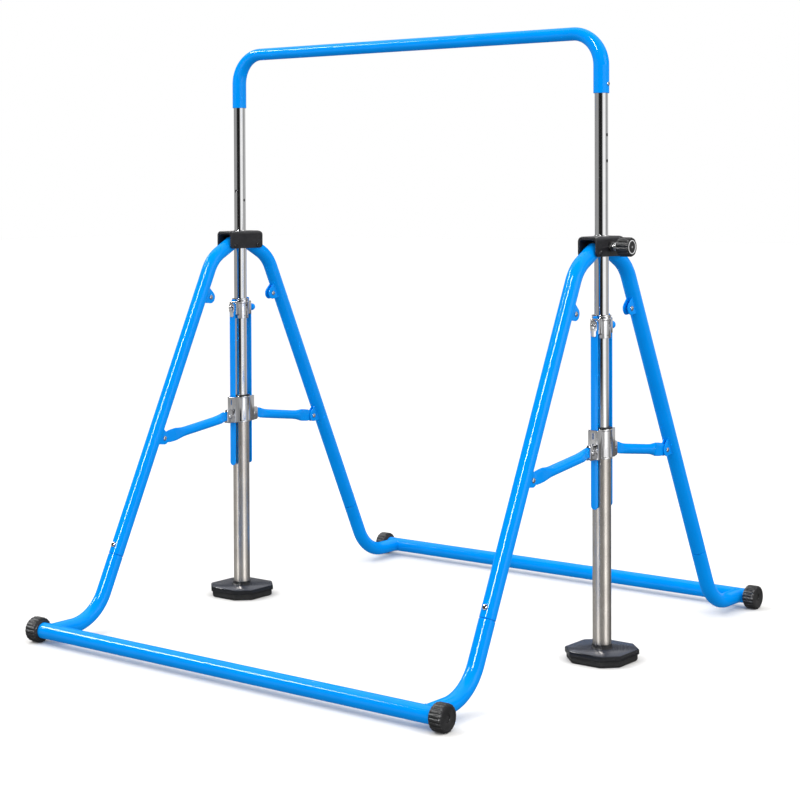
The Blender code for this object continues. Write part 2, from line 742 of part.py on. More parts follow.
def make_frame(end_name, end):
    body = end_name + "_frame"
    for side_name, side in SIDES.items():
        name = end_name + "_" + side_name
        make_leg(body, name, side, end)
        make_foot_tube(body, name, side, end)
        make_end_cap(body, name, side, end)
    bm = bmesh.new()
    tube_end = CAP_OUTER_X - CAP_FLOOR - PLATE_GAP
    centre = Vector((0.0, end * BASE_Y, BASE_Z))
    add_straight(bm, centre - X_AXIS * tube_end, centre + X_AXIS * tube_end, BASE_R, BASE_BORE)
    add_piece(end_name + "_base_tube", bm, "blue_paint", body)


# Lower posts

def make_lower_post(name, side):
    body = name + "_lower_post"
    post = X_AXIS * side * POST_X
    bm = bmesh.new()
    bottom = SOCKET_FLOOR + SEAT_GAP
    add_straight(bm, post + Z_AXIS * bottom, post + Z_AXIS * COLLAR_TOP, LOWER_R, LOWER_BORE)
    add_piece(name + "_lower_tube", bm, "steel_tube", body)
    make_bush(name + "_guide_bush", post, COLLAR_TOP + SEAT_GAP - BUSH_LENGTH, BUSH_FLANGE, body)
    make_lower_collar(name, side, body)
    make_pad(name, side, body)


def make_lower_collar(name, side, body):
    """The chrome collar: beside each strap a pair of rails, over it a plate, and on that the braces' ears."""
    post = X_AXIS * side * POST_X
    bore = LOWER_R + SEAT_GAP
    radius = bore + COLLAR_WALL
    bm = bmesh.new()
    add_straight(bm, post + Z_AXIS * COLLAR_BOTTOM, post + Z_AXIS * COLLAR_TOP, radius, bore)
    collar = add_piece(name + "_lower_collar", bm, "chrome", body)
    plate_face = GUIDE_Y + GUIDE_THICK
    rails = bmesh.new()
    guides = bmesh.new()
    ears = bmesh.new()
    holes = bmesh.new()
    low = COLLAR_BOTTOM + 0.0005
    high = COLLAR_TOP - 0.0005
    ear_edge = COLLAR_PIVOT_Y + COLLAR_EAR_REACH - COLLAR_EAR_CORNER
    ear_high = COLLAR_PIVOT_Z + COLLAR_EAR_RISE - COLLAR_EAR_CORNER
    ear_low = COLLAR_PIVOT_Z - COLLAR_EAR_DROP + COLLAR_EAR_CORNER
    ear = arc(ear_edge, ear_low, COLLAR_EAR_CORNER, -90.0, 0.0, 3)
    ear += arc(ear_edge, ear_high, COLLAR_EAR_CORNER, 0.0, 90.0, 3)
    ear_root = plate_face - GUIDE_THICK / 2.0
    ear += [(ear_root, ear_high + COLLAR_EAR_CORNER), (ear_root, ear_low - COLLAR_EAR_CORNER)]
    rail_edge = plate_face + 0.0004
    rail = [(RAIL_ROOT_Y, low), (rail_edge, low), (rail_edge, high), (RAIL_ROOT_Y, high)]
    for end_name, end in ENDS.items():
        for plate_sign in (-1, 1):
            inner = plate_sign * RAIL_INNER_X
            outer = plate_sign * RAIL_OUTER_X
            add_prism(rails, [(a * end, b) for a, b in rail], post, Y_AXIS, Z_AXIS, X_AXIS, inner, outer)
            inner = plate_sign * EAR_INNER_X
            outer = plate_sign * EAR_OUTER_X
            add_prism(ears, [(a * end, b) for a, b in ear], post, Y_AXIS, Z_AXIS, X_AXIS, inner, outer)
        half = (RAIL_INNER_X + RAIL_OUTER_X) / 2.0
        near = GUIDE_Y * end
        far = plate_face * end
        plate = [(-half, near), (half, near), (half, far), (-half, far)]
        add_prism(guides, plate, post, X_AXIS, Y_AXIS, Z_AXIS, low + 0.0005, high - 0.0005)
        pivot = Vector((side * POST_X, end * COLLAR_PIVOT_Y, COLLAR_PIVOT_Z))
        add_straight(holes, pivot - X_AXIS * 0.01, pivot + X_AXIS * 0.01, PIVOT_HOLE_R, 0.0, SMALL_SIDES)
        bolt = bmesh.new()
        add_through_bolt(bolt, pivot, EAR_OUTER_X)
        add_piece(end_name + "_" + name + "_pivot_bolt", bolt, "chrome", body)
    join(collar, add_helper(name + "_collar_rails", rails))
    join(collar, add_helper(name + "_collar_guides", guides))
    join(collar, add_helper(name + "_collar_ears", ears))
    cut(collar, add_helper(name + "_collar_holes", holes))


def octagon(half, corner):
    flat = half - corner
    return [
        (half, -flat), (half, flat), (flat, half), (-flat, half),
        (-half, flat), (-half, -flat), (-flat, -half), (flat, -half),
    ]


def make_pad(name, side, body):
    post = X_AXIS * side * POST_X
    sole = bmesh.new()
    sole_corner = PAD_CORNER - (PAD_HALF - SOLE_HALF) * 0.5
    add_prism(sole, octagon(SOLE_HALF, sole_corner), post, X_AXIS, Y_AXIS, Z_AXIS, 0.0, SOLE_TOP)
    add_piece(name + "_pad_sole", sole, "black_rubber", body)
    plate = bmesh.new()
    add_prism(plate, octagon(PAD_HALF, PAD_CORNER), post, X_AXIS, Y_AXIS, Z_AXIS, SOLE_TOP + SEAT_GAP, PAD_TOP)
    top_edges = [edge for edge in plate.edges if all(vert.co.z > PAD_TOP - 0.001 for vert in edge.verts)]
    bmesh.ops.bevel(plate, geom=top_edges, offset=PAD_EDGE, segments=3, profile=0.5, affect="EDGES")
    top = add_piece(name + "_pad_plate", plate, "black_plastic", body)
    ring = bmesh.new()
    add_straight(ring, post + Z_AXIS * (PAD_TOP - 0.004), post + Z_AXIS * SOCKET_TOP, SOCKET_R)
    join(top, add_helper(name + "_socket_ring", ring))
    bore = bmesh.new()
    add_straight(bore, post + Z_AXIS * SOCKET_FLOOR, post + Z_AXIS * (SOCKET_TOP + 0.01), LOWER_R + SEAT_GAP)
    cut(top, add_helper(name + "_socket_bore", bore))


# Braces

def make_brace(end_name, end, side_name, side):
    """A round tube from the lower collar to the leg's ears, pressed flat and high at both ends."""
    name = end_name + "_" + side_name + "_brace"
    start = Vector((side * POST_X, end * COLLAR_PIVOT_Y, COLLAR_PIVOT_Z))
    finish = ear_pivot(LOWER_EAR_Z, side, end)
    along = (finish - start).normalized()
    up = X_AXIS.cross(along) * end
    length = (finish - start).length
    flat = BRACE_FLAT_HALF
    sections = []
    for share in (0.95, 0.6):
        reach = BRACE_INNER_TIP_R * math.sqrt(1.0 - share * share)
        sections.append((-BRACE_INNER_TIP_R * share, flat, reach, reach, 5.0))
    rise = BRACE_INNER_RISE
    drop = BRACE_INNER_DROP
    # Distance from the collar's pivot, half thickness, reach above and below the axis, squareness.
    # The lower edge stays slim near the collar, because it swings against the collar's plate.
    sections += [
        (0.0, flat, BRACE_INNER_TIP_R, BRACE_INNER_TIP_R, 5.0),
        (BRACE_INNER_NECK, flat, rise * 0.56, drop, 5.0),
        (BRACE_INNER_SHOULDER, flat, rise * 0.91, drop * 0.98, 5.0),
        (BRACE_INNER_HEAD, flat, rise, drop, 5.0),
        (BRACE_INNER_HEAD_END, flat, rise * 0.99, drop * 1.33, 5.0),
        (BRACE_INNER_FLARE, (flat + BRACE_R) / 2.0, rise * 0.93, drop * 1.39, 3.0),
        (BRACE_INNER_ROUND, BRACE_R, BRACE_R, BRACE_R, 2.0),
    ]
    rise = BRACE_OUTER_RISE
    sections += [
        (length - BRACE_OUTER_ROUND, BRACE_R, BRACE_R, BRACE_R, 2.0),
        (length - BRACE_OUTER_FLARE, BRACE_R * 0.75, rise * 0.77, rise * 0.77, 2.5),
        (length - BRACE_OUTER_HEAD, flat, rise, rise, 5.0),
        (length - BRACE_OUTER_SHOULDER, flat, rise * 0.98, rise * 0.98, 5.0),
        (length - BRACE_OUTER_NECK, flat, rise * 0.80, rise * 0.80, 5.0),
        (length, flat, rise * 0.625, rise * 0.625, 5.0),
    ]
    for share in (0.5, 0.85, 0.97):
        reach = BRACE_OUTER_TIP_R * math.sqrt(1.0 - share * share)
        sections.append((length + BRACE_OUTER_TIP_R * share, flat, reach, reach, 5.0))
    bm = bmesh.new()
    rings = []
    for distance, half_x, above, below, squareness in sections:
        centre = start + along * distance + up * (above - below) / 2.0
        rings.append(add_ring(bm, centre, X_AXIS, up, half_x, (above + below) / 2.0, BRACE_SIDES, squareness))
    for first, second in zip(rings, rings[1:]):
        bridge(bm, first, second)
    bm.faces.new(rings[0])
    bm.faces.new(rings[-1])
    brace = add_piece(name, bm, "blue_paint", name)
    holes = bmesh.new()
    for pivot in (start, finish):
        add_straight(holes, pivot - X_AXIS * 0.02, pivot + X_AXIS * 0.02, PIVOT_HOLE_R, 0.0, SMALL_SIDES)
    cut(brace, add_helper(name + "_holes", holes))


# Lock knob

def make_lock():
    centre = Z_AXIS * LOCK_Z
    bm = bmesh.new()
    stud_start = BOSS_OUTER_X + SEAT_GAP
    stud_end = KNOB_FACE_X - KNOB_FLOOR - SEAT_GAP
    profile = [
        (PIN_TIP_X, PIN_R * 0.8),
        (PIN_TIP_X + 0.0015, PIN_R),
        (stud_start, PIN_R),
        (stud_start + 0.0001, STUD_SLEEVE_R),
        (KNOB_INNER_X - PLATE_GAP - 0.0001, STUD_SLEEVE_R),
        (KNOB_INNER_X - PLATE_GAP, STUD_R),
        (stud_end, STUD_R),
    ]
    add_turned(bm, centre, X_AXIS, profile)
    add_piece("plunger_pin", bm, "chrome", "plunger")
    knob = bmesh.new()
    steps = KNOB_FLUTES * 4
    rings = []
    for x_place, scale in ((0.0, 0.86), (0.003, 1.0), (KNOB_LENGTH - 0.004, 1.0), (KNOB_LENGTH, 0.90)):
        ring = []
        for index in range(steps):
            angle = 2.0 * math.pi * index / steps
            flute = max(0.0, math.cos(KNOB_FLUTES * angle)) ** 2
            radius = (KNOB_R - KNOB_FLUTE_DEPTH * flute) * scale
            place = Vector((KNOB_INNER_X + x_place, radius * math.cos(angle), LOCK_Z + radius * math.sin(angle)))
            ring.append(knob.verts.new(place))
        rings.append(ring)
    for first, second in zip(rings, rings[1:]):
        bridge(knob, first, second)
    knob.faces.new(rings[0])
    knob.faces.new(rings[-1])
    lock_knob = add_piece("lock_knob", knob, "black_plastic", "knob")
    bore = bmesh.new()
    start = centre + X_AXIS * (KNOB_INNER_X - 0.01)
    add_straight(bore, start, centre + X_AXIS * (KNOB_FACE_X - KNOB_FLOOR), STUD_R + SEAT_GAP, 0.0, SMALL_SIDES)
    cut(lock_knob, add_helper("knob_bore", bore))


def add_bodies():
    add_body("posts", Vector((0.0, 0.0, 0.0)))
    add_body("top_bar", Vector((0.0, 0.0, BAR_Z)))
    for end_name, end in ENDS.items():
        add_body(end_name + "_frame", Vector((0.0, end * HINGE_Y, HINGE_Z)))
    for side_name, side in SIDES.items():
        add_body(side_name + "_lower_post", Vector((side * POST_X, 0.0, COLLAR_PIVOT_Z)))
        for end_name, end in ENDS.items():
            pivot = Vector((side * POST_X, end * COLLAR_PIVOT_Y, COLLAR_PIVOT_Z))
            add_body(end_name + "_" + side_name + "_brace", pivot)
    add_body("plunger", Vector((PIN_TIP_X, 0.0, LOCK_Z)))
    add_body("knob", Vector((KNOB_INNER_X, 0.0, LOCK_Z)))
    bpy.context.view_layer.update()


def main():
    clear_scene()
    add_bodies()
    make_top_bar()
    make_posts()
    for end_name, end in ENDS.items():
        make_frame(end_name, end)
    for side_name, side in SIDES.items():
        make_lower_post(side_name, side)
        for end_name, end in ENDS.items():
            make_brace(end_name, end, side_name, side)
    make_lock()


main()
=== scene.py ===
"""Looks of the folding gymnastics bar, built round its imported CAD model.

Metres, +Z up, in the CAD model's frame: X along the bar, Y the depth, the origin on the floor between
the posts. Each visible CAD node gets a smooth, detailed piece that rides on the same body. The small
screws, clips and welds that the CAD model leaves out are added here.
"""
import json
import math

import bmesh
import bpy
from mathutils import Matrix, Vector


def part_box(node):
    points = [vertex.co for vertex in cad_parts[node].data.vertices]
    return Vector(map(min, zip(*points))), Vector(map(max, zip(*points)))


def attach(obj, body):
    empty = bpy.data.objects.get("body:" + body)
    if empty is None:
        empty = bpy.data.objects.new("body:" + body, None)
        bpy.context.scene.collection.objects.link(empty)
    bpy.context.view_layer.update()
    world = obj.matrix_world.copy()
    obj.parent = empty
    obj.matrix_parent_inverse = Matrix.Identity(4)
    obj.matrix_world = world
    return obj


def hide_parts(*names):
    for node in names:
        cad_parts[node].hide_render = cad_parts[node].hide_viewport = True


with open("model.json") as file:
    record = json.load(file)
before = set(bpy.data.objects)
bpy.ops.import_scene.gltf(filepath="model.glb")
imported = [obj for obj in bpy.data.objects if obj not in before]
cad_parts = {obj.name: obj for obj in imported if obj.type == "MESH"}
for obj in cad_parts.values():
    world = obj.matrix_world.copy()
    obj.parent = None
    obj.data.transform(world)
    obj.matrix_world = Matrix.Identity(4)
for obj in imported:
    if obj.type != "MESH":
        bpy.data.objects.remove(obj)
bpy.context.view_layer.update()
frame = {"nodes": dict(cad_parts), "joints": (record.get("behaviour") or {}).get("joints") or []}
joint_at = {joint["name"]: Vector(joint["pos_m"]) for joint in frame["joints"] if "pos_m" in joint}

X_AXIS = Vector((1.0, 0.0, 0.0))
Y_AXIS = Vector((0.0, 1.0, 0.0))
Z_AXIS = Vector((0.0, 0.0, 1.0))
FACING_X = (Y_AXIS, Z_AXIS, X_AXIS)    # the axes of a plate that faces along X
FACING_Y = (X_AXIS, Z_AXIS, Y_AXIS)
SIDES = {"left": -1, "right": 1}
ENDS = {"front": -1, "rear": 1}
TUBE_SIDES = 64
SMALL_SIDES = 40
SHARP_ANGLE = math.radians(34.0)


def box_centre(node):
    low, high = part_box(node)
    return (low + high) / 2.0


def box_size(node):
    low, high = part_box(node)
    return high - low


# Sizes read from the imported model
POST_X = joint_at["front_right_brace_swing"].x
COLLAR_PIVOT_Y = joint_at["rear_right_brace_swing"].y
COLLAR_PIVOT_Z = joint_at["rear_right_brace_swing"].z
HINGE_Y = joint_at["rear_fold"].y
HINGE_Z = joint_at["rear_fold"].z
LOCK_Z = joint_at["knob_turn"].z
SLEEVE_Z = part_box("top_bar")[0].z
SLEEVE_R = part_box("top_bar")[1].x - POST_X
BAR_R = 0.016
BAR_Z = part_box("top_bar")[1].z - BAR_R
BASE_Y = box_centre("rear_base_tube").y
BASE_Z = box_centre("rear_base_tube").z
BASE_R = box_size("rear_base_tube").z / 2.0
INNER_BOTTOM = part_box("right_inner_tube")[0].z
INNER_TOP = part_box("right_inner_tube")[1].z
MID_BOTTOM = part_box("right_mid_post")[0].z
MID_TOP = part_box("right_mid_post")[1].z
LOWER_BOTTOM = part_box("right_lower_tube")[0].z
COLLAR_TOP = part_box("right_lower_collar")[1].z
COLLAR_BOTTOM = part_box("right_lower_collar")[0].z
STRAP_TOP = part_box("rear_right_strap")[1].z
STRAP_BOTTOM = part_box("rear_right_strap")[0].z
STRAP_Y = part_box("rear_right_strap")[0].y
BRACKET_LOW, BRACKET_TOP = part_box("left_bracket")[0].z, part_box("left_bracket")[1].z
BRACKET_HALF_X = box_size("left_bracket").x / 2.0
BRACKET_HALF_Y = box_size("left_bracket").y / 2.0

# Sizes repeated from the construction
BAR_BEND_R = 0.079
BAR_WALL = 0.0027
BAR_SCREW_Z = SLEEVE_Z + 0.022
INNER_R = 0.016
INNER_BORE = 0.014
LOCK_HOLES = {    # below the sleeve's rim, and the way they face
    "left": [(0.255, X_AXIS), (0.230, -Y_AXIS)],
    "right": [(0.099, X_AXIS), (0.161, X_AXIS)],
}
LOCK_HOLE_R = 0.004
SCREW_HOLE_R = 0.0025
MID_R = 0.0175
MID_BORE = 0.0165
LOWER_R = 0.0225
LOWER_BORE = 0.0205
LEG_R = 0.019
LEG_BORE = 0.017
LEG_TILT = math.radians(25.8)
LEG_TOP_TILT = math.radians(62.0)
LEG_DOWN = Vector((0.0, math.sin(LEG_TILT), -math.cos(LEG_TILT)))
LEG_INWARD = Vector((0.0, -math.cos(LEG_TILT), -math.sin(LEG_TILT)))
LEG_AT_Z = 0.890
LEG_AT_Y = 0.136
LEG_TOP_BEND_R = 0.100
LEG_TOP_PAST = 0.014
LEG_JOINT_Z = 0.187
LEG_SCREW_RISE = 0.022
FOOT_BEND_R = 0.120
SPIGOT_LENGTH = 0.045
EAR_REACH = 0.032
EAR_INNER_X = 0.0035
UPPER_EAR_INNER_X = 0.0052
EAR_THICK = 0.003
UPPER_EAR_Z = 0.850
LOWER_EAR_Z = 0.484
EARS = [("upper", UPPER_EAR_Z, UPPER_EAR_INNER_X), ("lower", LOWER_EAR_Z, EAR_INNER_X)]
STRAP_HALF = 0.0092
STRAP_THICK = 0.004
STRAP_BOLT_Z = 0.801
STRAP_HOLE_R = 0.0033
BOLT_SHANK_R = 0.0039
BOLT_HOLE_R = 0.0043
BRACE_R = 0.0125
BRACE_FLAT_HALF = 0.003
BRACKET_WALL = 0.005
BRACKET_ROOF = 0.008
BRACKET_CORNER = 0.011
BRACKET_FOLD_R = 0.0125
PAD_CORNER = 0.0355
PAD_TOP = 0.030

# Sizes of the visual pieces alone
EAR_R = 0.0165         # the ears are broader here than in the solids
EAR_HALF_ROOT = 0.021
FOOT_GAP = 0.002       # between a leg and its foot tube
FIT = 0.0003           # room between nested pieces
SEAT_GAP = 0.0002      # room under a bolt head or a clip
RIM_LIP = 0.0009       # rounding of a tube's rim
HOLE_MARGIN = 0.008    # rings this far above and below a hole keep the wall round it straight
SUPPORT = 0.002        # a ring this far from each rim and bend keeps the straight walls' shading true

# The photograph's camera, found from the bar's corners, the posts and the feet
CAMERA_PLACE = Vector((2.8638, -3.7074, 1.1256))
CAMERA_YAW = math.radians(37.9026)
CAMERA_PITCH = math.radians(1.1840)
CAMERA_ROLL = math.radians(-0.1994)
CAMERA_LENS = 81.667
CAMERA_SENSOR = 36.0
CAMERA_SHIFT_Y = -0.21519


# Materials

def map_range(tree, value, numbers, interpolation="LINEAR"):
    """Map a value from one range to another; the numbers are the old and the new ends."""
    node = tree.nodes.new("ShaderNodeMapRange")
    node.interpolation_type = interpolation
    for socket, number in zip(("From Min", "From Max", "To Min", "To Max"), numbers):
        node.inputs[socket].default_value = number
    tree.links.new(value, node.inputs["Value"])
    return node.outputs["Result"]


class Finish:
    """A procedural material and the record's slot that it stands for."""

    def __init__(self, name, slot, colour, roughness, metallic=0.0):
        self.slot = slot
        self.material = bpy.data.materials.new(name)
        self.material.use_nodes = True
        self.nodes = self.material.node_tree.nodes
        self.links = self.material.node_tree.links
        self.shader = self.nodes["Principled BSDF"]
        self.set("Base Color", (*colour, 1.0))
        self.set("Roughness", roughness)
        self.set("Metallic", metallic)
        self.material.diffuse_color = (*colour, 1.0)
        self.place = self.nodes.new("ShaderNodeTexCoord").outputs["Object"]

    def set(self, socket, value):
        self.shader.inputs[socket].default_value = value
        return self

    def noise(self, scale, detail=3.0, stretch=(1.0, 1.0, 1.0)):
        """Noise over a piece's own metres; a small factor for an axis stretches it along that axis."""
        mapping = self.nodes.new("ShaderNodeMapping")
        mapping.inputs["Scale"].default_value = stretch
        texture = self.nodes.new("ShaderNodeTexNoise")
        texture.inputs["Scale"].default_value = scale
        texture.inputs["Detail"].default_value = detail
        self.links.new(self.place, mapping.inputs["Vector"])
        self.links.new(mapping.outputs["Vector"], texture.inputs["Vector"])
        return texture.outputs["Fac"]

    def vary_colour(self, noise, first, second):
        """Let the colour wander between two close tones."""
        ramp = self.nodes.new("ShaderNodeValToRGB")
        ramp.color_ramp.elements[0].position = 0.35
        ramp.color_ramp.elements[0].color = (*first, 1.0)
        ramp.color_ramp.elements[1].position = 0.65
        ramp.color_ramp.elements[1].color = (*second, 1.0)
        self.links.new(noise, ramp.inputs["Fac"])
        self.links.new(ramp.outputs["Color"], self.shader.inputs["Base Color"])
        return self

    def paint_shade_on_sides(self, share):
        """Paint shade on the faces that don't look up: their colour is darkened the more they turn to the
        side.
        """
        normal = self.nodes.new("ShaderNodeNewGeometry").outputs["Normal"]
        parts = self.nodes.new("ShaderNodeSeparateXYZ")
        self.links.new(normal, parts.inputs["Vector"])
        level = map_range(self, parts.outputs["Z"], (0.5, 0.9, share, 1.0))
        shade = self.nodes.new("ShaderNodeVectorMath")
        shade.operation = "SCALE"
        colour = self.shader.inputs["Base Color"]
        self.links.new(colour.links[0].from_socket, shade.inputs["Vector"])
        self.links.new(level, shade.inputs["Scale"])
        self.links.new(shade.outputs["Vector"], colour)
        return self

    def vary_roughness(self, noise, low, high):
        self.links.new(map_range(self, noise, (0.3, 0.7, low, high)), self.shader.inputs["Roughness"])
        return self

    def bump(self, noise, depth):
        node = self.nodes.new("ShaderNodeBump")
        node.inputs["Distance"].default_value = depth
        node.inputs["Strength"].default_value = 1.0
        self.links.new(noise, node.inputs["Height"])
        self.links.new(node.outputs["Normal"], self.shader.inputs["Normal"])
        return self


def make_finishes():
    blue = Finish("azure_gloss_paint", "blue_paint", (0.0, 0.266, 0.83), 0.30)
    blue.set("Coat Weight", 0.45).set("Coat Roughness", 0.035).set("Specular IOR Level", 0.0)
    blue.vary_colour(blue.noise(14.0), (0.0, 0.258, 0.81), (0.0, 0.274, 0.85))
    blue.vary_roughness(blue.noise(60.0), 0.26, 0.36)
    blue.bump(blue.noise(160.0, 1.5), 0.000004)

    polished = Finish("polished_tube", "steel_tube", (0.86, 0.86, 0.87), 0.07, 1.0)
    polished.vary_colour(polished.noise(30.0), (0.84, 0.84, 0.85), (0.88, 0.88, 0.88))
    polished.vary_roughness(polished.noise(900.0, 2.0, (1.0, 1.0, 0.012)), 0.045, 0.11)
    polished.bump(polished.noise(1400.0, 2.0, (1.0, 1.0, 0.01)), 0.000004)

    satin = Finish("brushed_steel_tube", "steel_tube", (0.66, 0.62, 0.575), 0.26, 1.0)
    satin.vary_colour(satin.noise(26.0), (0.63, 0.59, 0.545), (0.69, 0.65, 0.60))
    satin.vary_roughness(satin.noise(1100.0, 3.0, (1.0, 1.0, 0.015)), 0.20, 0.34)
    satin.bump(satin.noise(1600.0, 3.0, (1.0, 1.0, 0.012)), 0.000012)

    chrome = Finish("bright_chrome", "chrome", (0.83, 0.83, 0.84), 0.10, 1.0)
    chrome.vary_roughness(chrome.noise(240.0), 0.06, 0.18)
    chrome.bump(chrome.noise(420.0, 2.0), 0.00003)

    bracket = Finish("black_powder_coat", "black_paint", (0.012, 0.012, 0.015), 0.38)
    bracket.vary_colour(bracket.noise(50.0), (0.010, 0.010, 0.012), (0.017, 0.017, 0.020))
    bracket.vary_roughness(bracket.noise(300.0), 0.32, 0.46)
    bracket.bump(bracket.noise(1100.0, 2.0), 0.00006)

    plastic = Finish("black_moulded_plastic", "black_plastic", (0.014, 0.014, 0.015), 0.42)
    plastic.vary_colour(plastic.noise(80.0), (0.012, 0.012, 0.013), (0.020, 0.020, 0.021))
    plastic.vary_roughness(plastic.noise(500.0), 0.36, 0.52)
    plastic.bump(plastic.noise(2200.0, 2.0), 0.00004)

    slate = Finish("slate_pad_plastic", "black_plastic", (0.040, 0.044, 0.058), 0.24)
    slate.vary_colour(slate.noise(70.0), (0.036, 0.040, 0.052), (0.046, 0.050, 0.066))
    # painted shade: the plate's sides get a darker colour than its top
    slate.paint_shade_on_sides(0.16)
    slate.vary_roughness(slate.noise(400.0), 0.19, 0.32)
    slate.bump(slate.noise(1500.0, 2.0), 0.00003)

    rubber = Finish("black_rubber", "black_rubber", (0.014, 0.014, 0.014), 0.70)
    rubber.vary_colour(rubber.noise(90.0), (0.012, 0.012, 0.012), (0.019, 0.019, 0.019))
    rubber.vary_roughness(rubber.noise(600.0), 0.62, 0.80)
    rubber.bump(rubber.noise(1800.0, 3.0), 0.00010)

    silver = Finish("silver_ring", "chrome", (0.86, 0.86, 0.87), 0.35, 0.1)
    silver.vary_roughness(silver.noise(700.0), 0.24, 0.38)
    silver.bump(silver.noise(1500.0), 0.00001)

    navy = Finish("dark_blue_plug", "blue_paint", (0.004, 0.03, 0.10), 0.35)
    navy.vary_roughness(navy.noise(400.0), 0.28, 0.42)
    navy.bump(navy.noise(1300.0), 0.00003)

    return {
        "blue": blue, "polished": polished, "satin": satin, "chrome": chrome, "bracket": bracket,
        "plastic": plastic, "slate": slate, "rubber": rubber, "silver": silver, "navy": navy,
    }


FINISHES = make_finishes()


# Pieces

def add_mesh_object(name, bm):
    bmesh.ops.recalc_face_normals(bm, faces=bm.faces)
    mesh = bpy.data.meshes.new(name)
    bm.to_mesh(mesh)
    bm.free()
    item = bpy.data.objects.new(name, mesh)
    bpy.context.scene.collection.objects.link(item)
    return item


def cut(item, cutter_bm):
    """Cut a shape out of a piece and drop the cutter."""
    cutter = add_mesh_object("cutter", cutter_bm)
    modifier = item.modifiers.new("cut", "BOOLEAN")
    modifier.operation = "DIFFERENCE"
    modifier.solver = "EXACT"
    modifier.use_self = True
    modifier.object = cutter
    bpy.context.view_layer.update()
    depsgraph = bpy.context.evaluated_depsgraph_get()
    mesh = bpy.data.meshes.new_from_object(item.evaluated_get(depsgraph))
    item.modifiers.clear()
    item.data = mesh
    bpy.data.objects.remove(cutter)


def add_piece(name, bm, finish, body, replaces=(), cutters=()):
    """Turn a mesh in world coordinates into a finished piece that rides on a body."""
    item = add_mesh_object(name, bm)
    for cutter in cutters:
        cut(item, cutter)
    chosen = FINISHES[finish]
    item.data.materials.clear()
    item.data.materials.append(chosen.material)
    item.data.shade_smooth()
    item.data.set_sharp_from_angle(angle=SHARP_ANGLE)
    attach(item, body)
    if replaces:
        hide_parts(*replaces)
    return item


# Mesh building

def add_ring(bm, centre, across, up, half_across, half_up, sides, squareness=2.0):
    """Add a ring of vertices; squareness 2 is an ellipse, and more is boxier."""
    ring = []
    for index in range(sides):
        angle = 2.0 * math.pi * index / sides
        cosine = math.cos(angle)
        sine = math.sin(angle)
        reach_across = math.copysign(abs(cosine) ** (2.0 / squareness), cosine) * half_across
        reach_up = math.copysign(abs(sine) ** (2.0 / squareness), sine) * half_up
        ring.append(bm.verts.new(centre + across * reach_across + up * reach_up))
    return ring


def bridge(bm, first, second):
    count = len(first)
    for index in range(count):
        after = (index + 1) % count
        bm.faces.new((first[index], first[after], second[after], second[index]))


def bridge_all(bm, rings, closed=False):
    """Skin a row of rings, and close it into itself or with a flat face at each end."""
    for first, second in zip(rings, rings[1:]):
        bridge(bm, first, second)
    if closed:
        bridge(bm, rings[-1], rings[0])
    else:
        bm.faces.new(rings[0])
        bm.faces.new(rings[-1])


def soften(points, radius, steps=3):
    """Round the inner corners of a flat line of points."""
    corners = [Vector(point) for point in points]
    result = [corners[0]]
    for before, corner, after in zip(corners, corners[1:], corners[2:]):
        arriving = before - corner
        leaving = after - corner
        reach = min(radius, arriving.length * 0.45, leaving.length * 0.45)
        start = corner + arriving.normalized() * reach
        end = corner + leaving.normalized() * reach
        for index in range(steps + 1):
            share = index / steps
            result.append(start.lerp(corner, share).lerp(corner.lerp(end, share), share))
    result.append(corners[-1])
    return [tuple(point) for point in result]


def add_lathe(bm, origin, axis, profile, sides=SMALL_SIDES, closed=False):
    """Turn a profile of (distance along the axis, radius); radius 0 closes it to a point."""
    across = Y_AXIS if abs(axis.x) > 0.5 else X_AXIS
    up = axis.cross(across).normalized()
    rings = []
    for along, radius in profile:
        centre = origin + axis * along
        if radius < 1e-7:
            rings.append([bm.verts.new(centre)])
        else:
            rings.append(add_ring(bm, centre, across, up, radius, radius, sides))
    pairs = list(zip(rings, rings[1:]))
    if closed:
        pairs.append((rings[-1], rings[0]))
    for first, second in pairs:
        if len(first) == 1 or len(second) == 1:
            tip = first[0] if len(first) == 1 else second[0]
            rim = second if len(first) == 1 else first
            for index in range(len(rim)):
                bm.faces.new((rim[index], rim[(index + 1) % len(rim)], tip))
        else:
            bridge(bm, first, second)


def rim_arc(lip):
    """(depth below the rim, inset from the wall's face) round a quarter circle."""
    steps = 4
    places = []
    for index in range(steps + 1):
        angle = math.pi / 2.0 * index / steps
        places.append((lip * (1.0 - math.sin(angle)), lip * (1.0 - math.cos(angle))))
    return places


def add_tube(bm, stations, across=X_AXIS, lip=RIM_LIP):
    """Sweep a tube wall with rounded rims through stations of (centre, direction, radius, bore)."""
    def ring(station, radius, shift):
        centre, direction = station[0], station[1]
        up = direction.cross(across).normalized()
        return add_ring(bm, centre + direction * shift, across, up, radius, radius, TUBE_SIDES)

    first, last = stations[0], stations[-1]
    start_lip = min(lip, (first[2] - first[3]) * 0.45)
    end_lip = min(lip, (last[2] - last[3]) * 0.45)
    rings = [ring(first, first[3] + inset, depth) for depth, inset in rim_arc(start_lip)]
    rings += [ring(first, first[2] - inset, depth) for depth, inset in reversed(rim_arc(start_lip))]
    rings.append(ring(first, first[2], start_lip + SUPPORT))
    rings += [ring(station, station[2], 0.0) for station in stations[1:-1]]
    rings.append(ring(last, last[2], -end_lip - SUPPORT))
    rings += [ring(last, last[2] - inset, -depth) for depth, inset in rim_arc(end_lip)]
    rings += [ring(last, last[3] + inset, -depth) for depth, inset in reversed(rim_arc(end_lip))]
    rings += [ring(station, station[3], 0.0) for station in reversed(stations[1:-1])]
    bridge_all(bm, rings, closed=True)


def rod(low, high, radius):
    """Profile of a plain rod for add_lathe."""
    return [(low, 0.0), (low, radius), (high, radius), (high, 0.0)]


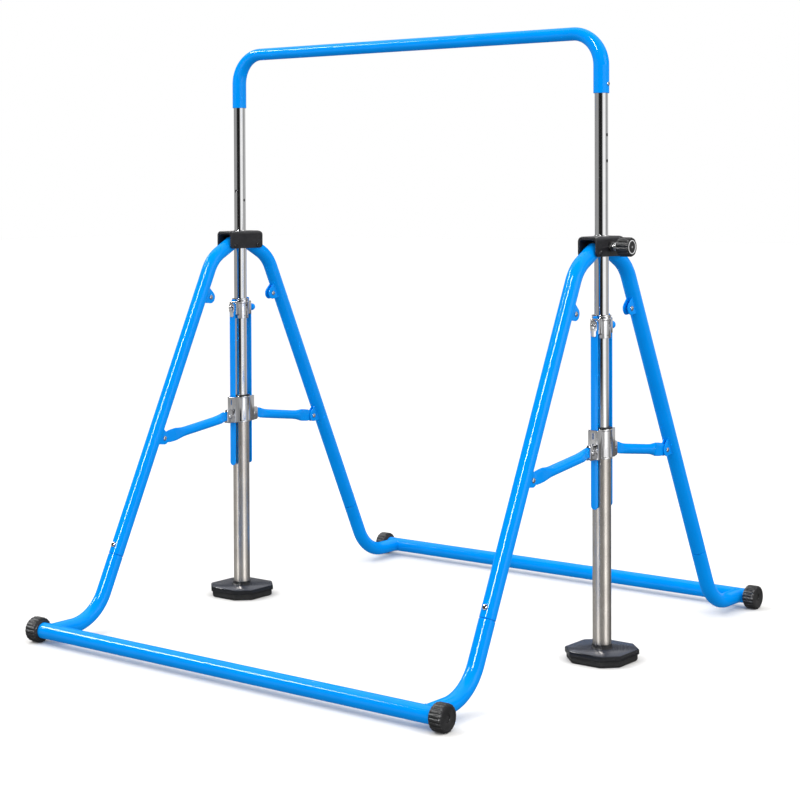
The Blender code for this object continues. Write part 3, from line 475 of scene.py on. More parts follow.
def add_turned_ring(bm, origin, axis, profile, rounding, sides=TUBE_SIDES, steps=3):
    """Turn a closed profile with rounded corners into a ring."""
    add_lathe(bm, origin, axis, soften(profile + [profile[0]], rounding, steps)[:-1], sides, closed=True)


def add_grooved_ring(bm, centre, radius, sides, depth, groove, start=0.0):
    """Add a ring round X with grooves of a depth; groove gives their share by the angle from the start."""
    ring = []
    for index in range(sides):
        angle = 2.0 * math.pi * index / sides
        reach = radius - depth * groove(angle)
        y = centre.y + reach * math.cos(angle + start)
        z = centre.z + reach * math.sin(angle + start)
        ring.append(bm.verts.new(Vector((centre.x, y, z))))
    return ring


def add_straight(bm, start, end, radius, sides=SMALL_SIDES):
    direction = (end - start).normalized()
    add_lathe(bm, start, direction, rod(0.0, (end - start).length, radius), sides)


def drill(start, end, radius, sides=32):
    """A round cutter between two points."""
    bm = bmesh.new()
    add_straight(bm, start, end, radius, sides)
    return bm


def drill_across(pivot, reach):
    """A cutter for a bolt hole along X, to both sides of a pivot."""
    return drill(pivot - X_AXIS * reach, pivot + X_AXIS * reach, BOLT_HOLE_R)


def bevel(bm, edges, width, segments):
    bmesh.ops.bevel(
        bm, geom=edges, offset=width, segments=segments, profile=0.5, affect="EDGES", clamp_overlap=True)


def add_plate(bm, outline, origin, axes, low, high, rounding=0.0006):
    """Extrude a flat outline along the last of three axes, and round its sharp edges."""
    across, up, depth_axis = axes
    layers = []
    faces = []
    for depth in sorted((low, high)):
        layer = [bm.verts.new(origin + across * a + up * b + depth_axis * depth) for a, b in outline]
        layers.append(layer)
        faces.append(bm.faces.new(layer))
    count = len(outline)
    for index in range(count):
        after = (index + 1) % count
        faces.append(bm.faces.new((layers[0][index], layers[0][after], layers[1][after], layers[1][index])))
    bmesh.ops.recalc_face_normals(bm, faces=faces)
    if rounding:
        edges = dict.fromkeys(edge for face in faces for edge in face.edges)
        bevel(bm, [edge for edge in edges if edge.calc_face_angle(0.0) > SHARP_ANGLE], rounding, 3)


def arc(centre_a, centre_b, radius, start, end, steps):
    points = []
    for index in range(steps + 1):
        angle = math.radians(start + (end - start) * index / steps)
        points.append((centre_a + radius * math.cos(angle), centre_b + radius * math.sin(angle)))
    return points


def rounded_box(half_a, low_b, high_b, radius, steps=6):
    """Outline of a rectangle with round corners."""
    outline = arc(half_a - radius, high_b - radius, radius, 0.0, 90.0, steps)
    outline += arc(radius - half_a, high_b - radius, radius, 90.0, 180.0, steps)
    outline += arc(radius - half_a, low_b + radius, radius, 180.0, 270.0, steps)
    outline += arc(half_a - radius, low_b + radius, radius, 270.0, 360.0, steps)
    return outline


def rounded_path(corners, bend_radius, steps):
    """Follow a path of corners, with each inner corner rounded; returns (point, direction, turn share)."""
    path = [(corners[0], (corners[1] - corners[0]).normalized(), 0.0)]
    for before, corner, after in zip(corners, corners[1:], corners[2:]):
        arriving = (corner - before).normalized()
        leaving = (after - corner).normalized()
        turn = arriving.angle(leaving)
        start = corner - arriving * bend_radius * math.tan(turn / 2.0)
        if (start - path[-1][0]).length > 10.0 * SUPPORT:
            path.append((start - arriving * SUPPORT, arriving, 0.0))
        side = (leaving - arriving * arriving.dot(leaving)).normalized()
        centre = start + side * bend_radius
        for index in range(steps + 1):
            angle = turn * index / steps
            point = centre - side * bend_radius * math.cos(angle) + arriving * bend_radius * math.sin(angle)
            direction = arriving * math.cos(angle) + side * math.sin(angle)
            path.append((point, direction, index / steps))
        if (after - point).length > 10.0 * SUPPORT:
            path.append((point + leaving * SUPPORT, leaving, 1.0))
    path.append((corners[-1], (corners[-1] - corners[-2]).normalized(), 1.0))
    return path


def add_bead(bm, points, normals, radius, closed, ripple=0.14):
    """Lay a rippled weld bead along points on a surface."""
    rings = []
    count = len(points)
    for index, (point, normal) in enumerate(zip(points, normals)):
        before = points[index - 1] if index or closed else points[0]
        after = points[(index + 1) % count] if index < count - 1 or closed else points[-1]
        along = (after - before).normalized()
        across = along.cross(normal).normalized()
        size = radius * (1.0 + ripple * (1.0 if index % 2 else -1.0))
        if not closed and index in (0, count - 1):
            size *= 0.4
        rings.append(add_ring(bm, point, across, normal, size, size, 8))
    bridge_all(bm, rings, closed)


def plate_cutter(outline, origin, axes, low, high):
    bm = bmesh.new()
    add_plate(bm, outline, origin, axes, low, high, 0.0)
    return bm


def add_upright_tube(bm, post, heights, radius, bore, lip=RIM_LIP):
    """A tube on a post's axis, with a ring at each height."""
    add_tube(bm, [(post + Z_AXIS * z, Z_AXIS, radius, bore) for z in sorted(heights)], lip=lip)


def turned_outline(end, outline):
    """Mirror an outline of (y, z) points of the rear to the end in question."""
    return [(y * end, z) for y, z in outline]


def long_hole(low, high, radius, steps):
    """Outline of an upright slot between two centres."""
    return arc(0.0, high, radius, 0.0, 180.0, steps) + arc(0.0, low, radius, 180.0, 360.0, steps)


def by_post(side, y, z):
    """Point in the plane of a post and its legs."""
    return Vector((side * POST_X, y, z))


def at_leg(height, side, end):
    """Point on the straight part of a leg's axis."""
    out = LEG_AT_Y + math.tan(LEG_TILT) * (LEG_AT_Z - height)
    return by_post(side, end * out, height)


def turned_to(end, vector):
    """Mirror a direction of the rear frame to the frame in question."""
    return Vector((vector.x, vector.y * end, vector.z))


def ear_pivot(height, side, end):
    return at_leg(height, side, end) + turned_to(end, LEG_INWARD) * EAR_REACH


def post_axis(side):
    return X_AXIS * side * POST_X


# Fasteners

def pan_profile(seat, radius, height):
    """A pan head that starts under its seat and closes to a point on top."""
    edge = [
        (seat - 0.0010, 0.0), (seat - 0.0010, radius * 0.5), (seat, radius * 0.52), (seat, radius),
        (seat + height * 0.45, radius), (seat + height * 0.9, radius * 0.72), (seat + height, 0.0),
    ]
    return soften(edge, radius * 0.22)


def cross_cutter(origin, axis, radius, depth, top):
    """The cross recess of a screw head, as a cutter."""
    across = Y_AXIS if abs(axis.x) > 0.5 else X_AXIS
    up = axis.cross(across).normalized()
    arm = radius * 0.56
    half = radius * 0.11
    outline = [
        (arm, -half), (arm, half), (half, half), (half, arm), (-half, arm), (-half, half),
        (-arm, half), (-arm, -half), (-half, -half), (-half, -arm), (half, -arm), (half, -half),
    ]
    return plate_cutter(outline, origin, (across, up, axis), top - depth, top + 0.002)


def add_screw(name, body, origin, axis, seat, radius=0.0048, height=0.0026, shank_end=None, replaces=()):
    """A cross-recessed pan-head screw, whose head sits a distance along the axis from the origin."""
    bm = bmesh.new()
    add_lathe(bm, origin, axis, pan_profile(seat, radius, height))
    if shank_end is not None:
        add_lathe(bm, origin, axis, rod(shank_end, seat, radius * 0.46))
    recess = cross_cutter(origin, axis, radius, height * 0.55, seat + height)
    add_piece(name, bm, "chrome", body, replaces, [recess])


def add_pivot_bolt(name, body, centre, half_span, radius, height=0.0030, finish="chrome", replaces=()):
    """A bolt through plates along X, with a domed head at both ends and a recess in one of them."""
    bm = bmesh.new()
    for direction in (-1.0, 1.0):
        add_lathe(bm, centre, X_AXIS * direction, pan_profile(half_span, radius, height))
    add_lathe(bm, centre, X_AXIS, rod(-half_span, half_span, BOLT_SHANK_R))
    recess = cross_cutter(centre, X_AXIS, radius, height * 0.5, half_span + height)
    add_piece(name, bm, finish, body, replaces, [recess])


# Hand bar

def make_bar():
    """The hand bar, whose ends widen into sleeves over the inner tubes."""
    corners = [
        by_post(-1, 0.0, SLEEVE_Z),
        by_post(-1, 0.0, BAR_Z),
        by_post(1, 0.0, BAR_Z),
        by_post(1, 0.0, SLEEVE_Z),
    ]
    stations = []
    for point, direction, share in rounded_path(corners, BAR_BEND_R, 24):
        narrowing = share if point.x < 0.0 else 1.0 - share
        eased = narrowing * narrowing * (3.0 - 2.0 * narrowing)
        radius = SLEEVE_R + (BAR_R - SLEEVE_R) * eased
        stations.append((point, direction, radius, radius - BAR_WALL))
    bm = bmesh.new()
    add_tube(bm, stations, Y_AXIS, 0.0012)
    holes = []
    for side in SIDES.values():
        start = Vector((side * (POST_X + INNER_R), 0.0, BAR_SCREW_Z))
        holes.append(drill(start, start + X_AXIS * side * 0.01, SCREW_HOLE_R, 24))
    add_piece("hand_bar", bm, "blue", "top_bar", ["top_bar"], holes)
    for name, side in SIDES.items():
        origin = by_post(side, 0.0, BAR_SCREW_Z)
        add_screw(name + "_sleeve_screw", "top_bar", origin, X_AXIS * side, SLEEVE_R + FIT,
                  shank_end=INNER_BORE, replaces=[name + "_bar_screw"])


def make_inner_tubes():
    for name, side in SIDES.items():
        post = post_axis(side)
        holes = [(SLEEVE_Z - drop, outward, LOCK_HOLE_R) for drop, outward in LOCK_HOLES[name]]
        holes.append((BAR_SCREW_Z, X_AXIS * side, SCREW_HOLE_R))
        heights = [INNER_BOTTOM, SLEEVE_Z, INNER_TOP]
        cutters = []
        for height, outward, radius in holes:
            heights += [height - HOLE_MARGIN, height + HOLE_MARGIN]
            start = post + Z_AXIS * height
            cutters.append(drill(start, start + outward * 0.03, radius))
        bm = bmesh.new()
        add_upright_tube(bm, post, heights, INNER_R, INNER_BORE)
        add_piece(name + "_inner_post", bm, "polished", "top_bar", [name + "_inner_tube"], cutters)


# Posts

def make_mid_posts():
    for name, side in SIDES.items():
        post = post_axis(side)
        bm = bmesh.new()
        heights = [MID_BOTTOM, LOCK_Z - HOLE_MARGIN, LOCK_Z + HOLE_MARGIN, MID_TOP]
        add_upright_tube(bm, post, heights, MID_R, MID_BORE, 0.0004)
        cutters = []
        if side > 0:
            start = post + Z_AXIS * LOCK_Z
            cutters.append(drill(start, start + X_AXIS * 0.03, BOLT_HOLE_R))
        add_piece(name + "_mid_tube", bm, "polished", "posts", [name + "_mid_post"], cutters)


def bracket_outline():
    """Section of the folded channel across a post."""
    half, fold_r = BRACKET_HALF_X, BRACKET_FOLD_R
    inner_half = half - BRACKET_WALL
    inner_top = BRACKET_TOP - BRACKET_ROOF
    inner_r = fold_r - BRACKET_WALL
    outline = [(half, BRACKET_LOW)]
    outline += arc(half - fold_r, BRACKET_TOP - fold_r, fold_r, 0.0, 90.0, 10)
    outline += arc(fold_r - half, BRACKET_TOP - fold_r, fold_r, 90.0, 180.0, 10)
    outline += [(-half, BRACKET_LOW), (-inner_half, BRACKET_LOW)]
    outline += arc(inner_r - inner_half, inner_top - inner_r, inner_r, 180.0, 90.0, 8)
    outline += arc(inner_half - inner_r, inner_top - inner_r, inner_r, 90.0, 0.0, 8)
    outline += [(inner_half, BRACKET_LOW)]
    return outline


def bracket_trims(end):
    """What is cut off a bracket's lower and upper corner at one end, as (y, z) outlines."""
    edge_y, spare = BRACKET_HALF_Y, 0.002
    trim = BRACKET_CORNER
    low_corner = arc(edge_y - trim, BRACKET_LOW + trim, trim, -90.0, 0.0, 10)
    low_corner += [
        (edge_y + spare, BRACKET_LOW + trim), (edge_y + spare, BRACKET_LOW - spare),
        (edge_y - trim, BRACKET_LOW - spare),
    ]
    trim = 0.010 if end > 0 else 0.003
    high_corner = arc(edge_y - trim, BRACKET_TOP - trim, trim, 0.0, 90.0, 10)
    high_corner += [
        (edge_y - trim, BRACKET_TOP + spare), (edge_y + spare, BRACKET_TOP + spare),
        (edge_y + spare, BRACKET_TOP - trim),
    ]
    return [turned_outline(end, low_corner), turned_outline(end, high_corner)]


def make_brackets():
    """Inverted channels with thick walls, which both leg heads enter."""
    for name, side in SIDES.items():
        post = post_axis(side)
        bm = bmesh.new()
        add_plate(bm, bracket_outline(), post, FACING_Y, -BRACKET_HALF_Y, BRACKET_HALF_Y, 0.0010)
        top = post + Z_AXIS * BRACKET_TOP
        cutters = [drill(top - Z_AXIS * 0.015, top + Z_AXIS * 0.01, MID_R + FIT, TUBE_SIDES)]
        for end in ENDS.values():
            for trim in bracket_trims(end):
                cutters.append(plate_cutter(trim, post, FACING_X, -0.04, 0.04))
        if side > 0:
            start = by_post(side, 0.0, LOCK_Z)
            cutters.append(drill(start, start + X_AXIS * (BRACKET_HALF_X + 0.01), BOLT_HOLE_R))
        add_piece(name + "_head_bracket", bm, "bracket", "posts", [name + "_bracket"], cutters)
        for end_name, end in ENDS.items():
            node = end_name + "_" + name
            hinge = by_post(side, end * HINGE_Y, HINGE_Z)
            add_pivot_bolt(node + "_hinge_pin", "posts", hinge, BRACKET_HALF_X + FIT, 0.0068, 0.0024,
                           "bracket", [node + "_hinge_bolt"])


def make_straps():
    outline = long_hole(STRAP_BOTTOM + STRAP_HALF, STRAP_TOP - STRAP_HALF, STRAP_HALF, 20)
    for name, side in SIDES.items():
        post = post_axis(side)
        for end_name, end in ENDS.items():
            bm = bmesh.new()
            add_plate(bm, outline, post, FACING_Y, STRAP_Y * end, (STRAP_Y + STRAP_THICK) * end, 0.0009)
            start = post + Z_AXIS * STRAP_BOLT_Z + Y_AXIS * end * (STRAP_Y - 0.004)
            hole = drill(start, start + Y_AXIS * end * 0.015, STRAP_HOLE_R, 24)
            node = end_name + "_" + name
            add_piece(node + "_link_strap", bm, "blue", "posts", [node + "_strap"], [hole])


def make_strap_collar(name, side):
    """The chrome clamp on the mid tube that carries both straps."""
    post = post_axis(side)
    low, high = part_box(name + "_strap_collar")
    bore = MID_R + FIT
    radius = bore + 0.0045
    flange_r = radius + 0.0011
    groove_r = radius - 0.0012
    flange_z = high.z - 0.012
    groove_low, groove_high = high.z - 0.0050, high.z - 0.0040
    profile = [
        (low.z, bore), (low.z, radius), (flange_z - 0.0008, radius), (flange_z, flange_r),
        (groove_low, flange_r), (groove_low, groove_r), (groove_high, groove_r),
        (groove_high, flange_r), (high.z, flange_r), (high.z, bore),
    ]
    bm = bmesh.new()
    add_turned_ring(bm, post, Z_AXIS, profile, 0.0006, steps=2)
    jaw = rounded_box(0.0125, 0.782, 0.820, 0.003, 4)
    for end in ENDS.values():
        add_plate(bm, jaw, post, FACING_Y, 0.0185 * end, (STRAP_Y - FIT) * end, 0.0010)
    screw_z = 0.8025
    keyhole = long_hole(screw_z, 0.8145, 0.0035, 10)
    cutters = [plate_cutter(keyhole, post, FACING_X, 0.019, 0.029)]
    for offset in (-0.006, 0.006):
        place = post + Z_AXIS * 0.7795 + Y_AXIS * offset + X_AXIS * 0.0195
        cutters.append(drill(place, place + X_AXIS * 0.01, 0.0019, 20))
    add_piece(name + "_strap_clamp", bm, "chrome", "posts", [name + "_strap_collar"], cutters)
    add_screw(name + "_clamp_screw", "posts", post + Z_AXIS * screw_z, X_AXIS, 0.0205, 0.0034, 0.0022)
    make_strap_clip(name, post)

    for end_name, end in ENDS.items():
        rise = 0.0095 if end < 0 else 0.0135
        tab = bmesh.new()
        outline = rounded_box(0.0055, 0.808, rise + STRAP_TOP, 0.0035)
        add_plate(tab, outline, post, FACING_Y, (STRAP_Y - 0.0045) * end, (STRAP_Y - 0.0008) * end)
        add_piece(end_name + "_" + name + "_strap_tab", tab, "blue", "posts")


def make_strap_clip(name, post):
    """The thin plate under the front bolt, round at the top and with a narrow foot."""
    half, foot_half, foot_r = 0.0095, 0.0065, 0.003
    top_z, shoulder_z, foot_z = 0.8165, 0.7935, 0.7765
    foot_x = 0.0035
    outline = arc(0.0, top_z - half, half, 0.0, 180.0, 14)
    outline += [(-half, shoulder_z), (-foot_half, shoulder_z - 0.005)]
    outline += arc(-foot_x, foot_z + foot_r, foot_r, 180.0, 270.0, 5)
    outline += arc(foot_x, foot_z + foot_r, foot_r, 270.0, 360.0, 5)
    outline += [(foot_half, shoulder_z - 0.005), (half, shoulder_z)]
    near = -(STRAP_Y + STRAP_THICK + SEAT_GAP)
    plate = bmesh.new()
    add_plate(plate, outline, post, FACING_Y, near - 0.0016, near, 0.0005)
    place = post + Z_AXIS * STRAP_BOLT_Z - Y_AXIS * STRAP_Y
    hole = drill(place, place - Y_AXIS * 0.02, STRAP_HOLE_R, 24)
    add_piece(name + "_strap_clip", plate, "chrome", "posts", (), [hole])


def make_strap_fasteners():
    """A hexagon bolt in front of each post and a ball-shaped cap nut behind it."""
    seat = STRAP_Y + STRAP_THICK + FIT
    shank_low, shank_r = 0.0215, 0.003
    washer_low = seat + 0.0018
    neck_high, neck_r = seat + 0.003, 0.0055
    ball_r, ball_turn, ball_steps = 0.0097, 143.0, 14
    for name, side in SIDES.items():
        origin = post_axis(side) + Z_AXIS * STRAP_BOLT_Z
        bolt = bmesh.new()
        add_lathe(bolt, origin, -Y_AXIS, rod(shank_low, washer_low, shank_r))
        add_lathe(bolt, origin, -Y_AXIS, soften(rod(washer_low, washer_low + 0.0010, 0.0078), 0.0003))
        hexagon = arc(0.0, 0.0, 0.0068, 0.0, 300.0, 5)
        head = origin - Y_AXIS * (washer_low + 0.0008)
        add_plate(bolt, hexagon, head, (X_AXIS, Z_AXIS, -Y_AXIS), 0.0, 0.0036, 0.0007)
        add_piece(name + "_strap_hex_bolt", bolt, "chrome", "posts", [name + "_strap_bolt"])
        profile = rod(shank_low, seat, shank_r)[:3] + [(seat, neck_r), (neck_high, neck_r)]
        for index in range(ball_steps + 1):
            angle = math.radians(ball_turn - ball_turn * index / ball_steps)
            profile.append((neck_high + ball_r * (0.80 + math.cos(angle)), ball_r * math.sin(angle)))
        profile[-1] = (profile[-1][0], 0.0)
        nut = bmesh.new()
        add_lathe(nut, origin, Y_AXIS, profile, 48)
        add_piece(name + "_strap_ball_nut", nut, "blue", "posts", [name + "_strap_nut"])


# Lock knob

def knob_flute(angle):
    return max(0.0, math.cos(10 * angle)) ** 1.6


def make_plunger(centre, boss_x, knob_x):
    """The spring pin with its ribbed stud between the boss and the knob."""
    pin_low, pin_high = (corner.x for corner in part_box("plunger_pin"))
    stud_low, stud_high, stud_r = boss_x + FIT, knob_x - 0.0008, 0.0096
    pin_r, core_r = 0.004, 0.005
    profile = [
        (pin_low, 0.0), (pin_low, 0.0028), (pin_low + 0.0018, pin_r), (stud_low, pin_r), (stud_low, stud_r),
    ]
    for index in range(4):
        ridge = stud_low + 0.0012 + index * 0.0026
        profile += [(ridge, stud_r), (ridge + 0.0006, stud_r - 0.0007), (ridge + 0.0012, stud_r)]
    profile += [(stud_high, stud_r), (stud_high, core_r), (pin_high, core_r), (pin_high, 0.0)]
    pin = bmesh.new()
    add_lathe(pin, centre, X_AXIS, soften(profile, 0.0003, 2), 48)
    add_piece("plunger_stud", pin, "chrome", "plunger", ["plunger_pin"])


def make_knob(centre, low, high):
    """The fluted grip and the ring, disc and rivet on its face."""
    radius = (high.z - low.z) / 2.0
    depth = high.x - low.x
    flute_depth = 0.0024
    # Distance from the inner face, share of the radius and share of the flutes' depth
    shape = [
        (0.0, 0.72, 0.0), (0.0006, 0.80, 0.0), (0.0020, 0.88, 0.3), (0.0032, 0.97, 0.8), (0.0045, 1.0, 1.0),
        (depth * 0.5, 1.0, 1.0), (depth - 0.0048, 1.0, 1.0), (depth - 0.0030, 0.985, 0.9),
        (depth - 0.0015, 0.95, 0.6), (depth - 0.0005, 0.89, 0.25), (depth - 0.0001, 0.82, 0.0),
        (depth - 0.0004, 0.77, 0.0), (depth - 0.0010, 0.74, 0.0), (depth - 0.0010, 0.40, 0.0),
    ]
    knob = bmesh.new()
    rings = []
    for distance, scale, flute in shape:
        place = Vector((low.x + distance, 0.0, LOCK_Z))
        rings.append(add_grooved_ring(knob, place, radius * scale, 160, flute_depth * flute, knob_flute))
    bridge_all(knob, rings)
    bore = drill(centre + X_AXIS * (low.x - 0.01), centre + X_AXIS * (high.x - 0.005), 0.0053, 40)
    add_piece("lock_grip", knob, "plastic", "knob", ["lock_knob"], [bore])

    face_x = high.x - 0.0010
    ring = bmesh.new()
    rim = [
        (face_x - 0.0004, 0.0143), (face_x + 0.0005, 0.0146), (face_x + 0.0005, 0.0162),
        (face_x - 0.0004, 0.0165),
    ]
    add_turned_ring(ring, centre, X_AXIS, rim, 0.0003, 96)
    add_piece("lock_face_ring", ring, "silver", "knob")
    disc = [(-0.0004, 0.0), (-0.0004, 0.0112), (0.0002, 0.0112), (0.0008, 0.0060), (0.0009, 0.0)]
    rivet = [(0.0002, 0.0), (0.0002, 0.0030), (0.0010, 0.0026), (0.0010, 0.0)]
    for label, profile, rounding, sides, finish in (
            ("disc", disc, 0.0008, 64, "plastic"), ("rivet", rivet, 0.0004, 32, "chrome")):
        profile = [(face_x + rise, reach) for rise, reach in profile]
        bm = bmesh.new()
        add_lathe(bm, centre, X_AXIS, soften(profile, rounding), sides)
        add_piece("lock_face_" + label, bm, finish, "knob")


def make_lock():
    boss_low, boss_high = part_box("knob_boss")
    knob_low, knob_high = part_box("lock_knob")
    centre = Z_AXIS * LOCK_Z
    length = boss_high.x - boss_low.x
    profile = [
        (0.0, BOLT_HOLE_R), (0.0, 0.0120), (length * 0.38, 0.0120), (length * 0.45, 0.0108),
        (length, 0.0104), (length, BOLT_HOLE_R),
    ]
    boss = bmesh.new()
    add_turned_ring(boss, centre + X_AXIS * boss_low.x, X_AXIS, profile, 0.0009, 48)
    add_piece("lock_boss", boss, "plastic", "posts", ["knob_boss"])
    make_plunger(centre, boss_high.x, knob_low.x)
    make_knob(centre, knob_low, knob_high)


# Leg frames

def leg_corner():
    """Where the leg's straight part would meet its steeper head, as (out, height)."""
    head_slope = math.tan(LEG_TOP_TILT)
    leg_slope = math.tan(LEG_TILT)
    head_at_zero = HINGE_Y + head_slope * HINGE_Z
    leg_at_zero = LEG_AT_Y + leg_slope * LEG_AT_Z
    height = (head_at_zero - leg_at_zero) / (head_slope - leg_slope)
    return leg_at_zero - leg_slope * height, height


def add_ears(bm, height, side, end, inner_x):
    """A welded pair of rounded plates that face the post."""
    root = at_leg(height, side, end)
    inward = turned_to(end, LEG_INWARD)
    down = turned_to(end, LEG_DOWN)
    half = EAR_HALF_ROOT
    sunk, clear = LEG_R - 0.003, LEG_R + 0.002
    outline = [(sunk, -half - 0.002), (clear, -half)]
    outline += arc(EAR_REACH, 0.0, EAR_R, -78.0, 78.0, 20)
    outline += [(clear, half), (sunk, half + 0.002)]
    steps = 22
    for sign in (-1, 1):
        outer = sign * (inner_x + EAR_THICK)
        add_plate(bm, outline, root, (inward, down, X_AXIS), sign * inner_x, outer, 0.0008)
        surface = math.sqrt(LEG_R ** 2 - outer ** 2)
        points = []
        for index in range(steps + 1):
            along = (2.0 * index / steps - 1.0) * (half + 0.001)
            points.append(root + X_AXIS * outer + inward * (surface + 0.0002) + down * along)
        normals = [(X_AXIS * sign + inward).normalized()] * len(points)
        add_bead(bm, points, normals, 0.0013, closed=False)


def make_leg(body, name, side, end):
    corner_y, corner_z = leg_corner()
    head = Vector((0.0, math.sin(LEG_TOP_TILT), -math.cos(LEG_TOP_TILT)))
    hinge = by_post(side, end * HINGE_Y, HINGE_Z)
    corners = [
        hinge - turned_to(end, head) * LEG_TOP_PAST,
        by_post(side, end * corner_y, corner_z),
        at_leg(LEG_JOINT_Z, side, end),
    ]
    path = rounded_path(corners, LEG_TOP_BEND_R, 14)
    bm = bmesh.new()
    add_tube(bm, [(point, direction, LEG_R, LEG_BORE) for point, direction, _ in path])
    cutters = [drill_across(hinge, 0.03)]
    for label, height, inner_x in EARS:
        add_ears(bm, height, side, end, inner_x)
        cutters.append(drill_across(ear_pivot(height, side, end), 0.03))
    add_piece(name + "_leg_tube", bm, "blue", body, [name + "_leg"], cutters)

    for label, height, inner_x in EARS:
        ear_face = inner_x + EAR_THICK + SEAT_GAP
        bolt_name = name + "_" + label + "_ear_bolt"
        add_pivot_bolt(bolt_name, body, ear_pivot(height, side, end), ear_face, 0.0062, 0.0032)
    screw_at = at_leg(LEG_JOINT_Z, side, end) - turned_to(end, LEG_DOWN) * LEG_SCREW_RISE
    outward = -turned_to(end, LEG_INWARD)
    add_screw(name + "_leg_screw", body, screw_at, outward, LEG_R + 0.0001, 0.0070, 0.0036)


def make_foot_tube(body, name, side, end):
    """The bent tube below the leg, whose far end fits the base tube's curve."""
    down = turned_to(end, LEG_DOWN)
    joint = at_leg(LEG_JOINT_Z, side, end)
    corners = [
        joint + down * FOOT_GAP,
        at_leg(BASE_Z, side, end),
        by_post(side, end * (BASE_Y - 0.022), BASE_Z),
    ]
    bm = bmesh.new()

    def ring(centre, direction, radius):
        up = direction.cross(X_AXIS).normalized()
        return add_ring(bm, centre, X_AXIS, up, radius, radius, TUBE_SIDES)

    spigot_r = LEG_BORE - FIT
    steps = [(-SPIGOT_LENGTH, spigot_r - 0.001), (0.001 - SPIGOT_LENGTH, spigot_r)]
    steps.append((FOOT_GAP - 0.0002, spigot_r))
    steps += [(FOOT_GAP + depth, LEG_R - inset) for depth, inset in reversed(rim_arc(RIM_LIP))]
    steps.append((FOOT_GAP + RIM_LIP + SUPPORT, LEG_R))
    rings = [ring(joint + down * distance, down, radius) for distance, radius in steps]
    path = rounded_path(corners, FOOT_BEND_R, 22)
    rings += [ring(point, direction, LEG_R) for point, direction, _ in path[1:]]
    seam = []
    for vert in rings[-1]:
        offset = vert.co.z - BASE_Z
        reach = math.sqrt(max(0.0, BASE_R ** 2 - offset ** 2))
        vert.co.y = end * (BASE_Y - reach)
        seam.append(vert.co.copy())
    bridge_all(bm, rings)
    inside = by_post(side, end * (BASE_Y + 0.02), BASE_Z)
    normals = [(point - inside).normalized() for point in seam]
    add_bead(bm, seam, normals, 0.0014, closed=True, ripple=0.10)
    add_piece(name + "_foot_bend", bm, "blue", body, [name + "_foot_tube"])


def cap_rib(angle):
    return (0.5 - 0.5 * math.cos(20 * angle)) ** 2.2


def make_end_cap(body, name, side, end):
    """A ribbed cap with a slim collar towards the tube and a dished face."""
    low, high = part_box(name + "_end_cap")
    inner_x, outer_x = (low.x, high.x) if side > 0 else (high.x, low.x)
    length = abs(outer_x - inner_x)
    bore = BASE_R + FIT
    rib_depth = 0.0016
    # Distance from the inner rim, radius and share of the ribs' depth
    shape = [
        (length - 0.005, bore * 0.30, 0.0), (length - 0.005, bore, 0.0), (0.0006, bore, 0.0),
        (0.0, bore + 0.0006, 0.0), (0.0, 0.0228, 0.0), (0.0008, 0.0240, 0.0), (0.0030, 0.0246, 0.0),
        (0.0036, 0.0262, 0.0), (0.0042, 0.0280, 0.3), (0.0056, 0.0300, 0.8), (0.0080, BASE_Z, 1.0),
        (length * 0.5, BASE_Z, 1.0), (length - 0.0050, BASE_Z, 1.0), (length - 0.0030, BASE_Z - 0.0004, 0.9),
        (length - 0.0014, BASE_Z - 0.0014, 0.6), (length - 0.0004, BASE_Z - 0.0030, 0.2),
        (length, 0.0262, 0.0), (length, 0.0236, 0.0), (length - 0.0010, 0.0226, 0.0),
        (length - 0.0012, 0.0092, 0.0), (length - 0.0016, 0.0086, 0.0), (length - 0.0032, 0.0080, 0.0),
    ]
    bm = bmesh.new()
    rings = []
    for distance, radius, amount in shape:
        centre = Vector((inner_x + side * distance, end * BASE_Y, BASE_Z))
        rings.append(add_grooved_ring(bm, centre, radius, 240, rib_depth * amount, cap_rib, -math.pi / 2.0))
    bridge_all(bm, rings)
    add_piece(name + "_ribbed_cap", bm, "plastic", body, [name + "_end_cap"])


def make_frame(end_name, end):
    body = end_name + "_frame"
    for side_name, side in SIDES.items():
        name = end_name + "_" + side_name
        make_leg(body, name, side, end)
        make_foot_tube(body, name, side, end)
        make_end_cap(body, name, side, end)
    low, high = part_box(end_name + "_base_tube")
    centre = Vector((0.0, end * BASE_Y, BASE_Z))
    places = (low.x, -POST_X, 0.0, POST_X, high.x)
    bm = bmesh.new()
    add_tube(bm, [(centre + X_AXIS * x, X_AXIS, BASE_R, BASE_R - 0.002) for x in places], Y_AXIS)
    add_piece(end_name + "_floor_bar", bm, "blue", body, [end_name + "_base_tube"])


# Lower posts

def make_lower_tube(name, side, body):
    post = post_axis(side)
    bm = bmesh.new()
    add_upright_tube(bm, post, (LOWER_BOTTOM, 0.3, COLLAR_TOP), LOWER_R, LOWER_BORE)
    add_piece(name + "_outer_post", bm, "satin", body, [name + "_lower_tube"])
    low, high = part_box(name + "_guide_bush")
    bore = MID_R + FIT
    flange_r = (high.x - low.x) / 2.0
    neck_r = LOWER_BORE - FIT
    profile = [
        (low.z, bore), (low.z, neck_r), (COLLAR_TOP + FIT, neck_r), (COLLAR_TOP + 0.0004, flange_r),
        (high.z - 0.0006, flange_r), (high.z, flange_r - 0.002), (high.z, bore),
    ]
    bush = bmesh.new()
    add_turned_ring(bush, post, Z_AXIS, profile, 0.0004)
    add_piece(name + "_guide_ring", bush, "plastic", body, [name + "_guide_bush"])


